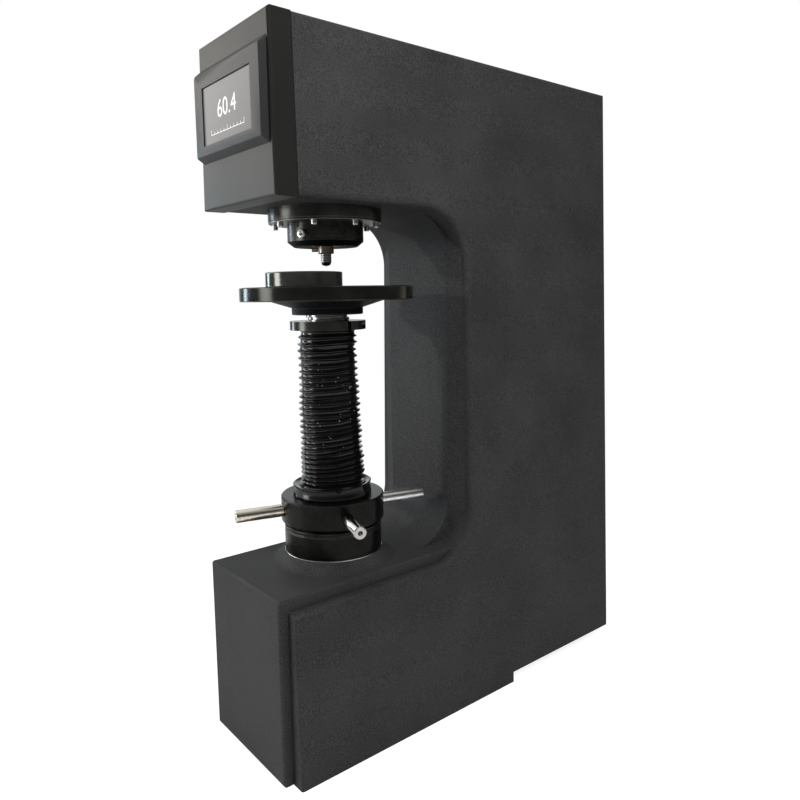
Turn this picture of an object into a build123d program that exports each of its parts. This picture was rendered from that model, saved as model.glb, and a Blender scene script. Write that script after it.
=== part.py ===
from build123d import *
import os
from math import cos, pi, radians, sin, sqrt

os.makedirs("parts", exist_ok=True)

# A bench hardness tester of the motor-driven, load-cell kind. Millimetres.
# X is across, -Y is the operator's side, Z is up; the origin is the middle of the footprint.

# Overall
overall_height = 800.0
footprint_length = 555.0
width_at_floor = 196.0
width_at_top = 158.0
front_y = -footprint_length / 2
rear_y = footprint_length / 2

# Casting
front_box_width = 160.0
base_height = 206.0
boss_height = 192.0
boss_setback = 11.0
foot_length = 342.0
rear_lift = 13.5
head_height = 180.0
cover_setback = 12.0
cover_depth = 26.5
axis_reach = 112.0
throat_depth = 139.0
throat_radius = 52.0
boss_step = 9.0
column_face_width = 112.0
column_bevel = 15.0
wall = 8.0
base_floor = 12.0
head_floor = 14.0
rebate_depth = 6.0
rebate_width = 6.0
throat_rounding = 9.0
edge_rounding = 3.0

# Named clearances
running_gap = 0.05
slip_gap = 0.3
screw_hole_gap = 0.3

# Places worked out from them
head_underside = overall_height - head_height
cover_y = front_y + cover_setback
head_y = cover_y + cover_depth
axis_y = cover_y + axis_reach
column_y = axis_y + throat_depth
boss_y = front_y + boss_setback
boss_column_y = column_y + boss_step
foot_end_y = front_y + foot_length
boss_radius = throat_radius + boss_step
floor_top = base_floor
rear_floor_top = rear_lift + base_floor
roof_underside = boss_height - base_floor
head_floor_top = head_underside + head_floor
column_inside_y = boss_column_y + wall


def half_width(z):
    """Half the casting's width at height z: its sides lean in towards the top."""
    return (width_at_floor + (width_at_top - width_at_floor) * z / overall_height) / 2


def level(z):
    """A level plane at height z, centred on the test axis."""
    return Plane((0, axis_y, z))


test_axis = Axis((0, axis_y, 0), (0, 0, 1))
axis_section = Plane(origin=(0, axis_y, 0), x_dir=(1, 0, 0), z_dir=(0, -1, 0))


def cross_plane(y):
    """An upright plane across the tester at depth y, seen from the front."""
    return Plane(origin=(0, y, 0), x_dir=(1, 0, 0), z_dir=(0, -1, 0))


def turned(points):
    """A solid of revolution about the test axis, from (radius, height) points."""
    with BuildPart() as piece:
        with BuildSketch(axis_section):
            with BuildLine():
                Polyline(*points, close=True)
            make_face()
        revolve(axis=test_axis)
    return piece


def ring(inner, outer, low, high):
    """A plain ring about the test axis."""
    with BuildPart() as piece:
        with BuildSketch(level(low)):
            Circle(outer)
            Circle(inner, mode=Mode.SUBTRACT)
        extrude(amount=high - low)
    return piece


def circle_of(radius, count, first=0.0):
    """Points on a circle, the first at the given angle from the front, turning towards +X."""
    angles = [radians(first + 360 * turn / count) for turn in range(count)]
    return [(radius * sin(angle), -radius * cos(angle)) for angle in angles]


def socket_screws(plane, places, thread, length, head, head_height):
    """Socket-head screws whose heads stand on the plane; their threads go down through it."""
    with BuildPart() as screws:
        with BuildSketch(plane):
            with Locations(*places):
                Circle(thread)
        extrude(amount=-length)
        with BuildSketch(plane):
            with Locations(*places):
                Circle(head)
        extrude(amount=head_height)
        with BuildSketch(plane.offset(head_height)):
            with Locations(*places):
                RegularPolygon(radius=head * 0.55, side_count=6)
        extrude(amount=-head_height * 0.55, mode=Mode.SUBTRACT)
    return screws


def slanted_prism(inset, low, high, near_y, far_y):
    """The block between the casting's two leaning sides, each moved in by the inset."""
    with BuildPart() as prism:
        with BuildSketch(cross_plane(far_y)):
            with BuildLine():
                Polyline(
                    (half_width(low) - inset, low),
                    (half_width(high) - inset, high),
                    (inset - half_width(high), high),
                    (inset - half_width(low), low),
                    close=True,
                )
            make_face()
        extrude(amount=far_y - near_y)
    return prism


# Casting: a C of cast iron, hollow, open at the back and at the front of the head
with BuildPart() as hollow:
    with BuildSketch(Plane.YZ):
        with BuildLine():
            Polyline(
                (head_y - 1, head_floor_top),
                (column_inside_y, head_floor_top),
                (column_inside_y, roof_underside),
                (boss_y + wall, roof_underside),
                (boss_y + wall, floor_top),
                (foot_end_y - wall, floor_top),
                (foot_end_y - wall, rear_floor_top),
                (rear_y + 1, rear_floor_top),
                (rear_y + 1, overall_height - wall),
                (head_y - 1, overall_height - wall),
                close=True,
            )
        make_face()
    extrude(amount=width_at_floor / 2, both=True)
    add(slanted_prism(wall, 0, overall_height, front_y - 1, rear_y + 2).part, mode=Mode.INTERSECT)

# Load unit's flange and screws are needed for the casting's holes
flange_radius = 66.0
flange_thickness = 13.5
plate_thickness = 2.5
flange_screw_circle = 60.0
flange_screw_radius = 2.2
flange_screw_length = 26.0
flange_screw_count = 8
flange_bottom = head_underside - flange_thickness
plate_bottom = flange_bottom - plate_thickness
spindle_passage = 30.0

# Base ring, bush and screws
ring_radius = 58.4
ring_stand = 45.0
ring_gap = 1.5
hub_bottom = base_height + ring_stand
ring_top = hub_bottom - ring_gap
pad_height = 11.0
pad_edge = 0.8
pad_flank = 5.0
pad_top = base_height + pad_height
bush_radius = 34.0
ring_screw_circle = 46.0
ring_screw_radius = 4.0
ring_screw_length = 50.0
roof_bottom_of_screws = roof_underside

# Rear cover
cover_screw_radius = 1.5
cover_plate = 2.5
cover_edge_gap = 0.25
rear_opening_low = rear_floor_top
rear_opening_high = overall_height - wall
rear_screw_rows = 4
rear_screw_end = 30.0
rear_screw_pitch = (rear_opening_high - rear_opening_low - 2 * rear_screw_end) / (rear_screw_rows - 1)
rear_screw_heights = [rear_opening_low + rear_screw_end + row * rear_screw_pitch for row in range(rear_screw_rows)]
rear_screw_places = [
    (side * (half_width(height) - wall + rebate_width / 2), height)
    for side in (-1, 1)
    for height in rear_screw_heights
]

# Head cover's tabs
tab_width = 24.0
tab_reach = 16.0
tab_thickness = 8.0
tab_spacing = 84.0
cover_wall = 3.0
cover_fit = 0.3
tab_screw_inset = 9.0
tab_screw_radius = 2.0

leaning_sides = slanted_prism(0, 0, overall_height, front_y - 1, rear_y)


def throat_edges(part):
    """The edges between the throat's surface and the two sides."""
    found = []
    for edge in part.edges():
        middle = edge.position_at(0.5)
        on_side = abs(middle.X) > half_width(middle.Z) - 0.5
        in_height = boss_height - 0.1 < middle.Z < head_underside + 0.1
        ends_in_height = all(boss_height - 0.1 < end.Z < head_underside + 0.1 for end in (edge @ 0, edge @ 1))
        if on_side and in_height and ends_in_height and middle.Y < boss_column_y + 0.1:
            found.append(edge)
    return found


def outline_edges(part):
    """The long outer edges of the two sides: front of the base, top and back."""
    found = []
    for edge in part.edges():
        middle = edge.position_at(0.5)
        if abs(middle.X) < half_width(middle.Z) - 0.5:
            continue
        along_top = middle.Z > overall_height - 0.1
        up_the_back = middle.Y > rear_y - 0.1
        up_the_front = middle.Y < boss_y + 0.1 and middle.Z < base_height and edge.length > base_height / 2
        if along_top or up_the_back or up_the_front:
            found.append(edge)
    return found


with BuildPart() as side_plates:
    with BuildSketch(Plane.YZ):
        with BuildLine():
            Polyline(
                (boss_y, 0),
                (foot_end_y, 0),
                (foot_end_y, rear_lift),
                (rear_y, rear_lift),
                (rear_y, overall_height),
                (head_y, overall_height),
                (head_y, head_underside),
                (boss_column_y, head_underside),
                (boss_column_y, boss_height),
                (boss_y, boss_height),
                close=True,
            )
        make_face()
        throat_corners = vertices().filter_by_position(Axis.X, boss_column_y - 0.1, boss_column_y + 0.1)
        fillet(throat_corners, radius=boss_radius)
    extrude(amount=width_at_floor / 2, both=True)
    add(leaning_sides.part, mode=Mode.INTERSECT)
    fillet(throat_edges(side_plates), radius=throat_rounding)
    fillet(outline_edges(side_plates), radius=edge_rounding)

# The narrower block in front of the side plates
with BuildPart() as front_block:
    with BuildSketch(Plane.YZ):
        with Locations((front_y, 0)):
            Rectangle(boss_column_y - front_y, base_height, align=(Align.MIN, Align.MIN))
    extrude(amount=front_box_width / 2, both=True)
    add(leaning_sides.part, mode=Mode.INTERSECT)
    front_corner_edges = front_block.edges().filter_by_position(Axis.Y, front_y - 0.1, front_y + 0.1)
    top_side_edges = front_block.edges().filter_by(Axis.Y).filter_by_position(
        Axis.Z, base_height - 0.1, base_height + 0.1
    )
    fillet(front_corner_edges + top_side_edges, radius=edge_rounding)

# The column's face stands proud of the side plates, with bevelled edges, and runs into base and head
narrow_sides = slanted_prism(throat_rounding, 0, overall_height, front_y - 1, rear_y)
with BuildPart() as column_face:
    with BuildSketch(Plane.XY.offset(base_height - wall)):
        with BuildLine():
            Polyline(
                (-column_face_width / 2, column_y),
                (column_face_width / 2, column_y),
                (half_width(base_height), column_y + column_bevel),
                (half_width(base_height), boss_column_y + wall),
                (-half_width(base_height), boss_column_y + wall),
                (-half_width(base_height), column_y + column_bevel),
                close=True,
            )
        make_face()
    extrude(amount=head_underside - base_height + 2 * wall)
    with BuildSketch(Plane.YZ):
        with BuildLine():
            Polyline(
                (boss_column_y + wall - 0.5, base_height - wall),
                (front_y, base_height - wall),
                (front_y, base_height),
                (column_y, base_height),
                (column_y, head_underside),
                (front_y, head_underside),
                (front_y, head_underside + wall),
                (boss_column_y + wall - 0.5, head_underside + wall),
                close=True,
            )
        make_face()
        fillet(vertices().filter_by_position(Axis.X, column_y - 0.1, column_y + 0.1), radius=throat_radius)
    extrude(amount=width_at_floor / 2, both=True, mode=Mode.INTERSECT)
    add(narrow_sides.part, mode=Mode.INTERSECT)

# The fillets under the head and over the base that carry the column's face to them
with BuildPart() as throat_fillets:
    with BuildSketch(Plane.YZ):
        with BuildLine():
            Polyline(
                (boss_column_y, base_height - wall),
                (column_y - throat_radius - wall, base_height - wall),
                (column_y - throat_radius - wall, base_height),
                (column_y, base_height),
                (column_y, head_underside),
                (column_y - throat_radius - wall, head_underside),
                (column_y - throat_radius - wall, head_underside + wall),
                (boss_column_y, head_underside + wall),
                close=True,
            )
        make_face()
        fillet(vertices().filter_by_position(Axis.X, column_y - 0.1, column_y + 0.1), radius=throat_radius)
    extrude(amount=column_face_width / 2, both=True)

# The low round pad on the base's top, machined flat for the base ring
base_pad = turned(
    [
        (0, base_height - 1),
        (ring_radius + pad_edge + pad_flank, base_height - 1),
        (ring_radius + pad_edge + pad_flank, base_height),
        (ring_radius + pad_edge, pad_top),
        (0, pad_top),
    ]
)

with BuildPart() as casting:
    add(side_plates.part)
    add(front_block.part)
    add(column_face.part)
    add(throat_fillets.part)
    add(base_pad.part)
    add(hollow.part, mode=Mode.SUBTRACT)
    with BuildSketch(cross_plane(rear_y)):
        with BuildLine():
            Polyline(
                (half_width(rear_opening_low) - wall + rebate_width, rear_opening_low - rebate_width),
                (half_width(rear_opening_high) - wall + rebate_width, rear_opening_high + rebate_width),
                (wall - rebate_width - half_width(rear_opening_high), rear_opening_high + rebate_width),
                (wall - rebate_width - half_width(rear_opening_low), rear_opening_low - rebate_width),
                close=True,
            )
        make_face()
    extrude(amount=rebate_depth, mode=Mode.SUBTRACT)
    with BuildSketch(level(head_underside)):
        Circle(spindle_passage)
        with Locations(*circle_of(flange_screw_circle, flange_screw_count)):
            Circle(flange_screw_radius)
    extrude(amount=head_floor, mode=Mode.SUBTRACT)
    with BuildSketch(level(roof_underside)):
        Circle(bush_radius)
        with Locations(*circle_of(ring_screw_circle, 4, 45)):
            Circle(ring_screw_radius + screw_hole_gap)
    extrude(amount=pad_top - roof_underside, mode=Mode.SUBTRACT)
    with BuildSketch(level(0)):
        Circle(bush_radius)
    extrude(amount=base_floor, mode=Mode.SUBTRACT)
    with BuildSketch(cross_plane(rear_y - rebate_depth)):
        with Locations(*rear_screw_places):
            Circle(cover_screw_radius)
    extrude(amount=wall, mode=Mode.SUBTRACT)
    for side in (-1, 1):
        with BuildSketch(Plane.XY.offset(overall_height - cover_wall - cover_fit)):
            with Locations((side * tab_spacing / 2, head_y)):
                Rectangle(tab_width, 2 * tab_reach)
        extrude(amount=-tab_thickness)
        with BuildSketch(Plane.XY.offset(head_underside + cover_wall + cover_fit)):
            with Locations((side * tab_spacing / 2, head_y)):
                Rectangle(tab_width, 2 * tab_reach)
        extrude(amount=tab_thickness)
        with BuildSketch(Plane.XY.offset(overall_height)):
            with Locations((side * tab_spacing / 2, head_y - tab_screw_inset)):
                Circle(tab_screw_radius)
        extrude(amount=-cover_wall - cover_fit - tab_thickness, mode=Mode.SUBTRACT)
casting.part.label = "casting"
export_step(casting.part, "parts/casting.step")

# Head cover: a pressed box that closes the front of the head and carries the display
display_drop = 81.4
display_height = overall_height - display_drop
bezel_width = 150.0
bezel_height = 94.0
bezel_depth = 9.0
bezel_wall = 2.5
screen_width = 111.0
screen_height = 62.3
cable_window_width = 90.0
cable_window_height = 40.0
cover_rounding = 3.0
seam_chamfer = 0.7
bezel_screw_x = 64.5
bezel_screw_z = 36.0
bezel_screw_radius = 1.5

cover_inside = slanted_prism(
    cover_wall, head_underside + cover_wall, overall_height - cover_wall, cover_y + cover_wall, head_y + 1
)
with BuildPart() as head_cover:
    add(slanted_prism(0, head_underside, overall_height, cover_y, head_y).part)
    front_edges = edges().filter_by_position(Axis.Y, cover_y - 0.1, cover_y + 0.1)
    fillet(front_edges, radius=cover_rounding)
    rear_edges = edges().filter_by_position(Axis.Y, head_y - 0.1, head_y + 0.1)
    chamfer(rear_edges, length=seam_chamfer)
    add(cover_inside.part, mode=Mode.SUBTRACT)
    with BuildSketch(cross_plane(cover_y)):
        with Locations((0, display_height)):
            Rectangle(cable_window_width, cable_window_height)
        with Locations(*[(x, display_height + z) for x in (-bezel_screw_x, bezel_screw_x) for z in (-bezel_screw_z, bezel_screw_z)]):
            Circle(bezel_screw_radius + screw_hole_gap)
    extrude(amount=-cover_wall, mode=Mode.SUBTRACT)
    with BuildSketch(Plane.XY.offset(overall_height)):
        with Locations(*[(side * tab_spacing / 2, head_y - tab_screw_inset) for side in (-1, 1)]):
            Circle(2 * tab_screw_radius)
    extrude(amount=-cover_wall, taper=0, mode=Mode.SUBTRACT)
head_cover.part.label = "head_cover"
export_step(head_cover.part, "parts/head_cover.step")

# Head cover screws: two low cheese heads let into the top of the cover
with BuildPart() as head_cover_screws:
    with BuildSketch(Plane.XY.offset(overall_height - cover_wall - cover_fit)):
        with Locations(*[(side * tab_spacing / 2, head_y - tab_screw_inset) for side in (-1, 1)]):
            Circle(tab_screw_radius)
    extrude(amount=-tab_thickness)
    with BuildSketch(Plane.XY.offset(overall_height - cover_wall - cover_fit)):
        with Locations(*[(side * tab_spacing / 2, head_y - tab_screw_inset) for side in (-1, 1)]):
            Circle(2 * tab_screw_radius - 0.2)
    extrude(amount=cover_wall)
    with BuildSketch(Plane.XY.offset(overall_height - cover_fit)):
        with Locations(*[(side * tab_spacing / 2, head_y - tab_screw_inset) for side in (-1, 1)]):
            RegularPolygon(radius=tab_screw_radius, side_count=6)
    extrude(amount=-cover_wall / 2, mode=Mode.SUBTRACT)
head_cover_screws.part.label = "head_cover_screws"
export_step(head_cover_screws.part, "parts/head_cover_screws.step")

# Display bezel: a shallow moulded frame with sloped top and bottom flanks
glass_lap = 3.0
glass_thickness = 1.1
glass_recess = 1.6
bezel_front_y = cover_y - bezel_depth
lip_slope = 6.0
top_slope = 8.4
post_radius = 3.5
with BuildPart() as display_bezel:
    with BuildSketch(Plane.YZ):
        with BuildLine():
            Polyline(
                (cover_y, display_height - bezel_height / 2),
                (bezel_front_y, display_height - bezel_height / 2 + lip_slope),
                (bezel_front_y, display_height + bezel_height / 2),
                (cover_y, display_height + bezel_height / 2 + top_slope),
                close=True,
            )
        make_face()
    extrude(amount=bezel_width / 2, both=True)
    top_corners = [
        edge
        for edge in display_bezel.edges()
        if edge.position_at(0.5).Z > display_height and abs((edge @ 0).Y - (edge @ 1).Y) > bezel_depth / 2
    ]
    fillet(top_corners, radius=2.5)
    chamfer(faces().sort_by(Axis.Y)[0].edges(), length=0.8)
    with BuildSketch(cross_plane(cover_y)):
        with Locations((0, display_height)):
            Rectangle(bezel_width - 2 * bezel_wall, bezel_height - 2 * bezel_wall - lip_slope)
    extrude(amount=bezel_depth - glass_recess - glass_thickness, mode=Mode.SUBTRACT)
    with BuildSketch(cross_plane(cover_y)):
        with Locations((0, display_height)):
            Rectangle(screen_width + 2 * glass_lap, screen_height + 2 * glass_lap)
    extrude(amount=bezel_depth - glass_recess, mode=Mode.SUBTRACT)
    with BuildSketch(cross_plane(cover_y)):
        with Locations((0, display_height)):
            Rectangle(screen_width, screen_height)
    extrude(amount=bezel_depth, mode=Mode.SUBTRACT)
    with BuildSketch(cross_plane(cover_y)):
        with Locations(*[(x, display_height + z) for x in (-bezel_screw_x, bezel_screw_x) for z in (-bezel_screw_z, bezel_screw_z)]):
            Circle(post_radius)
    extrude(amount=bezel_depth - glass_recess)
    with BuildSketch(cross_plane(cover_y)):
        with Locations(*[(x, display_height + z) for x in (-bezel_screw_x, bezel_screw_x) for z in (-bezel_screw_z, bezel_screw_z)]):
            Circle(bezel_screw_radius)
    extrude(amount=bezel_depth / 2, mode=Mode.SUBTRACT)
display_bezel.part.label = "display_bezel"
export_step(display_bezel.part, "parts/display_bezel.step")

# Bezel screws: four, driven from inside the head cover into the bezel's posts
bezel_screw_places = [(x, display_height + z) for x in (-bezel_screw_x, bezel_screw_x) for z in (-bezel_screw_z, bezel_screw_z)]
inside_of_cover = Plane(origin=(0, cover_y + cover_wall, 0), x_dir=(-1, 0, 0), z_dir=(0, 1, 0))
bezel_screws_blank = socket_screws(
    inside_of_cover,
    bezel_screw_places,
    bezel_screw_radius,
    cover_wall + bezel_depth / 2,
    2 * bezel_screw_radius - 0.2,
    2.0,
)
with BuildPart() as bezel_screws:
    add(bezel_screws_blank.part)
bezel_screws.part.label = "bezel_screws"
export_step(bezel_screws.part, "parts/bezel_screws.step")

# Display glass: the touch panel, held behind the bezel's window
glass_fit = 0.2
with BuildPart() as display_glass:
    with BuildSketch(cross_plane(bezel_front_y + glass_recess + glass_thickness)):
        with Locations((0, display_height)):
            Rectangle(screen_width + 2 * glass_lap - 2 * glass_fit, screen_height + 2 * glass_lap - 2 * glass_fit)
    extrude(amount=glass_thickness)
display_glass.part.label = "display_glass"
export_step(display_glass.part, "parts/display_glass.step")

# Display board: the liquid crystal panel and its circuit board, against the glass
panel_thickness = 3.2
board_thickness = 1.6
board_margin = 4
driver_width = 14
driver_height = 10
driver_thickness = 4
driver_left = -25
driver_right = 20
driver_rise = 5
glass_back_y = bezel_front_y + glass_recess + glass_thickness
with BuildPart() as display_board:
    with BuildSketch(cross_plane(glass_back_y + panel_thickness)):
        with Locations((0, display_height)):
            Rectangle(screen_width + glass_lap, screen_height + glass_lap)
    extrude(amount=panel_thickness)
    with BuildSketch(cross_plane(glass_back_y + panel_thickness + board_thickness)):
        with Locations((0, display_height)):
            Rectangle(screen_width + glass_lap, screen_height + glass_lap + board_margin)
    extrude(amount=board_thickness)
    with BuildSketch(cross_plane(glass_back_y + panel_thickness + board_thickness)):
        with Locations((driver_left, display_height), (driver_right, display_height + driver_rise)):
            Rectangle(driver_width, driver_height)
    extrude(amount=-driver_thickness)
display_board.part.label = "display_board"
export_step(display_board.part, "parts/display_board.step")

# Load flange: a thick turned ring bolted under the head
housing_radius = 44.3
housing_collar = 50.0
collar_height = 5.0
nose_drop = 42.5
housing_bottom = head_underside - nose_drop
housing_bevel = 5.7
housing_bevel_in = 7.0
load_flange_blank = turned(
    [
        (spindle_passage, head_underside),
        (flange_radius, head_underside),
        (flange_radius, flange_bottom),
        (housing_collar + slip_gap, flange_bottom),
        (housing_collar + slip_gap, flange_bottom + collar_height),
        (spindle_passage, flange_bottom + collar_height),
    ]
)
with BuildPart() as load_flange:
    add(load_flange_blank.part)
    with BuildSketch(level(flange_bottom)):
        with Locations(*circle_of(flange_screw_circle, flange_screw_count)):
            Circle(flange_screw_radius + screw_hole_gap)
    extrude(amount=flange_thickness, mode=Mode.SUBTRACT)
load_flange.part.label = "load_flange"
export_step(load_flange.part, "parts/load_flange.step")

# Retaining plate: a thin ring that holds the nose housing's collar in the flange
retaining_plate_blank = ring(housing_radius + slip_gap, flange_radius - 0.5, plate_bottom, flange_bottom)
with BuildPart() as retaining_plate:
    add(retaining_plate_blank.part)
    with BuildSketch(level(plate_bottom)):
        with Locations(*circle_of(flange_screw_circle, flange_screw_count)):
            Circle(flange_screw_radius + screw_hole_gap)
    extrude(amount=plate_thickness, mode=Mode.SUBTRACT)
retaining_plate.part.label = "retaining_plate"
export_step(retaining_plate.part, "parts/retaining_plate.step")

# Flange screws: eight, up through plate and flange into the head's floor
flange_screw_plane = Plane(origin=(0, axis_y, plate_bottom), x_dir=(1, 0, 0), z_dir=(0, 0, -1))
flange_screws_blank = socket_screws(
    flange_screw_plane,
    circle_of(flange_screw_circle, flange_screw_count),
    flange_screw_radius,
    flange_screw_length,
    3.4,
    5.5,
)
with BuildPart() as flange_screws:
    add(flange_screws_blank.part)
flange_screws.part.label = "flange_screws"
export_step(flange_screws.part, "parts/flange_screws.step")

# Nose housing: the stepped sleeve that carries the spindle's bush
spindle_radius = 14.0
spindle_bush_radius = 20.0
nose_bottom = housing_bottom
nose_housing_blank = turned(
    [
        (spindle_bush_radius, flange_bottom + collar_height),
        (housing_collar, flange_bottom + collar_height),
        (housing_collar, flange_bottom),
        (housing_radius, flange_bottom),
        (housing_radius, nose_bottom + housing_bevel),
        (housing_radius - housing_bevel_in, nose_bottom),
        (spindle_bush_radius, nose_bottom),
    ]
)
set_screw_angle = 22.5
set_screw_rise = 13.0
set_screw_height = nose_bottom + set_screw_rise
set_screw_radius = 3.0
set_screw_plane = Plane(
    origin=(
        housing_radius * sin(radians(set_screw_angle)),
        axis_y - housing_radius * cos(radians(set_screw_angle)),
        set_screw_height,
    ),
    x_dir=(cos(radians(set_screw_angle)), sin(radians(set_screw_angle)), 0),
    z_dir=(sin(radians(set_screw_angle)), -cos(radians(set_screw_angle)), 0),
)
set_screw_depth = 16.0
with BuildPart() as nose_housing:
    add(nose_housing_blank.part)
    with BuildSketch(set_screw_plane.offset(1)):
        Circle(set_screw_radius)
    extrude(amount=-set_screw_depth - 1, mode=Mode.SUBTRACT)
nose_housing.part.label = "nose_housing"
export_step(nose_housing.part, "parts/nose_housing.step")

# Nose set screw: locks the bush in the housing, its head standing out at the front
nose_set_screw_blank = socket_screws(set_screw_plane, [(0, 0)], set_screw_radius, set_screw_depth, 5.0, 5.0)
with BuildPart() as nose_set_screw:
    add(nose_set_screw_blank.part)
nose_set_screw.part.label = "nose_set_screw"
export_step(nose_set_screw.part, "parts/nose_set_screw.step")

# Spindle bush: bronze, pressed in the nose housing
spindle_bush_blank = ring(spindle_radius + running_gap, spindle_bush_radius, nose_bottom + 0.8, head_floor_top - 2)
with BuildPart() as spindle_bush:
    add(spindle_bush_blank.part)
spindle_bush.part.label = "spindle_bush"
export_step(spindle_bush.part, "parts/spindle_bush.step")

# Spindle: the straight ram that carries the load down to the indenter
spindle_inset = 4.1
spindle_above_floor = 18.0
spindle_bottom = nose_bottom + spindle_inset
spindle_top = head_floor_top + spindle_above_floor
chuck_stem_radius = 7.0
chuck_stem_length = 16.0
spindle_blank = turned(
    [
        (0, spindle_top),
        (spindle_radius, spindle_top),
        (spindle_radius, spindle_bottom),
        (chuck_stem_radius, spindle_bottom),
        (chuck_stem_radius, spindle_bottom + chuck_stem_length),
        (0, spindle_bottom + chuck_stem_length),
    ]
)
with BuildPart() as spindle:
    add(spindle_blank.part)
spindle.part.label = "spindle"
export_step(spindle.part, "parts/spindle.step")

# Chuck: the hardened holder at the spindle's end, bored for the indenter's shank
chuck_radius = 10.6
chuck_waist_radius = 9.4
chuck_waist_height = 8.2
chuck_length = 11.8
chuck_bottom = spindle_bottom - chuck_length
shank_radius = 3.175
shank_length = 20.0
chuck_chamfer = 0.8
chuck_blank = turned(
    [
        (shank_radius, chuck_bottom),
        (chuck_waist_radius - chuck_chamfer, chuck_bottom),
        (chuck_waist_radius, chuck_bottom + chuck_chamfer),
        (chuck_waist_radius, chuck_bottom + chuck_waist_height),
        (chuck_radius, chuck_bottom + chuck_waist_height + chuck_radius - chuck_waist_radius),
        (chuck_radius, spindle_bottom),
        (chuck_stem_radius, spindle_bottom),
        (chuck_stem_radius, spindle_bottom + chuck_stem_length),
        (0, spindle_bottom + chuck_stem_length),
        (0, chuck_bottom + shank_length),
        (shank_radius, chuck_bottom + shank_length),
    ]
)
chuck_screw_angle = -40.0
chuck_screw_rise = 5.0
chuck_screw_height = chuck_bottom + chuck_screw_rise
chuck_screw_radius = 1.6
chuck_screw_plane = Plane(
    origin=(
        chuck_waist_radius * sin(radians(chuck_screw_angle)),
        axis_y - chuck_waist_radius * cos(radians(chuck_screw_angle)),
        chuck_screw_height,
    ),
    x_dir=(cos(radians(chuck_screw_angle)), sin(radians(chuck_screw_angle)), 0),
    z_dir=(sin(radians(chuck_screw_angle)), -cos(radians(chuck_screw_angle)), 0),
)
with BuildPart() as chuck:
    add(chuck_blank.part)
    with BuildSketch(chuck_screw_plane.offset(1)):
        Circle(chuck_screw_radius)
    extrude(amount=shank_radius - chuck_waist_radius - 1, mode=Mode.SUBTRACT)
chuck.part.label = "chuck"
export_step(chuck.part, "parts/chuck.step")

# Chuck screw: the small thumb screw that grips the indenter's shank
chuck_screw_blank = socket_screws(
    chuck_screw_plane, [(0, 0)], chuck_screw_radius, chuck_waist_radius - shank_radius - 0.1, 2.6, 7.0
)
with BuildPart() as chuck_screw:
    add(chuck_screw_blank.part)
chuck_screw.part.label = "chuck_screw"
export_step(chuck_screw.part, "parts/chuck_screw.step")

# Indenter: shank and body in steel
indenter_radius = 6.2
indenter_length = 10.4
cap_length = 4.3
indenter_bottom = chuck_bottom - indenter_length
tip_bottom = indenter_bottom - cap_length
ball_radius = 0.794
ball_centre = tip_bottom + ball_radius
indenter_blank = turned(
    [
        (0, chuck_bottom + shank_length - 0.5),
        (shank_radius, chuck_bottom + shank_length - 0.5),
        (shank_radius, chuck_bottom),
        (indenter_radius, chuck_bottom),
        (indenter_radius, indenter_bottom),
        (0, indenter_bottom),
    ]
)
with BuildPart() as indenter:
    add(indenter_blank.part)
indenter.part.label = "indenter"
export_step(indenter.part, "parts/indenter.step")

# Ball tip: the screwed cap with the carbide ball in its mouth
cap_mouth_radius = 2.4
ball_showing = 0.8
cap_mouth = tip_bottom + ball_showing
with BuildPart() as ball_tip:
    with BuildSketch(axis_section):
        with BuildLine():
            Polyline(
                (0, indenter_bottom),
                (indenter_radius - 0.5, indenter_bottom),
                (indenter_radius - 0.7, indenter_bottom - 1.4),
                (indenter_radius - 1.9, indenter_bottom - 2.8),
                (cap_mouth_radius, cap_mouth),
                (0, cap_mouth),
                close=True,
            )
        make_face()
    revolve(axis=test_axis)
    with Locations((0, axis_y, ball_centre)):
        Sphere(ball_radius)
ball_tip.part.label = "ball_tip"
export_step(ball_tip.part, "parts/ball_tip.step")

# Load cell: a flat round cell between the spindle and the crosshead
cell_radius = 20.0
cell_height = 24.0
cell_top = spindle_top + cell_height
load_cell_blank = turned(
    [
        (0, spindle_top),
        (12, spindle_top),
        (12, spindle_top + 3),
        (cell_radius, spindle_top + 3),
        (cell_radius, cell_top - 3),
        (12, cell_top - 3),
        (12, cell_top),
        (0, cell_top),
    ]
)
with BuildPart() as load_cell:
    add(load_cell_blank.part)
load_cell.part.label = "load_cell"
export_step(load_cell.part, "parts/load_cell.step")

# Crosshead: the plate that the ball nut drives down along the two guide posts
post_spacing = 92.0
guide_post_radius = 7.0
crosshead_width = 122.0
crosshead_depth = 44.0
crosshead_height = 14.0
crosshead_top = cell_top + crosshead_height
screw_clearance_radius = 9.5
with BuildPart() as crosshead:
    with BuildSketch(level(cell_top)):
        RectangleRounded(crosshead_width, crosshead_depth, 8)
    extrude(amount=crosshead_height)
    with BuildSketch(level(cell_top + crosshead_height / 3)):
        Circle(screw_clearance_radius)
    extrude(amount=crosshead_height, mode=Mode.SUBTRACT)
    with BuildSketch(level(cell_top)):
        with Locations((-post_spacing / 2, 0), (post_spacing / 2, 0)):
            Circle(guide_post_radius + running_gap)
    extrude(amount=crosshead_height, mode=Mode.SUBTRACT)
crosshead.part.label = "crosshead"
export_step(crosshead.part, "parts/crosshead.step")

# Ball nut: flanged, bolted on the crosshead
ball_screw_radius = 8.0
ball_nut_radius = 14.0
ball_nut_flange = 20.0
ball_nut_height = 26.0
flange_lip = 6.0
ball_nut_blank = turned(
    [
        (ball_screw_radius + running_gap, crosshead_top),
        (ball_nut_flange, crosshead_top),
        (ball_nut_flange, crosshead_top + flange_lip),
        (ball_nut_radius, crosshead_top + flange_lip),
        (ball_nut_radius, crosshead_top + ball_nut_height),
        (ball_screw_radius + running_gap, crosshead_top + ball_nut_height),
    ]
)
with BuildPart() as ball_nut:
    add(ball_nut_blank.part)
ball_nut.part.label = "ball_nut"
export_step(ball_nut.part, "parts/ball_nut.step")

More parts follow.
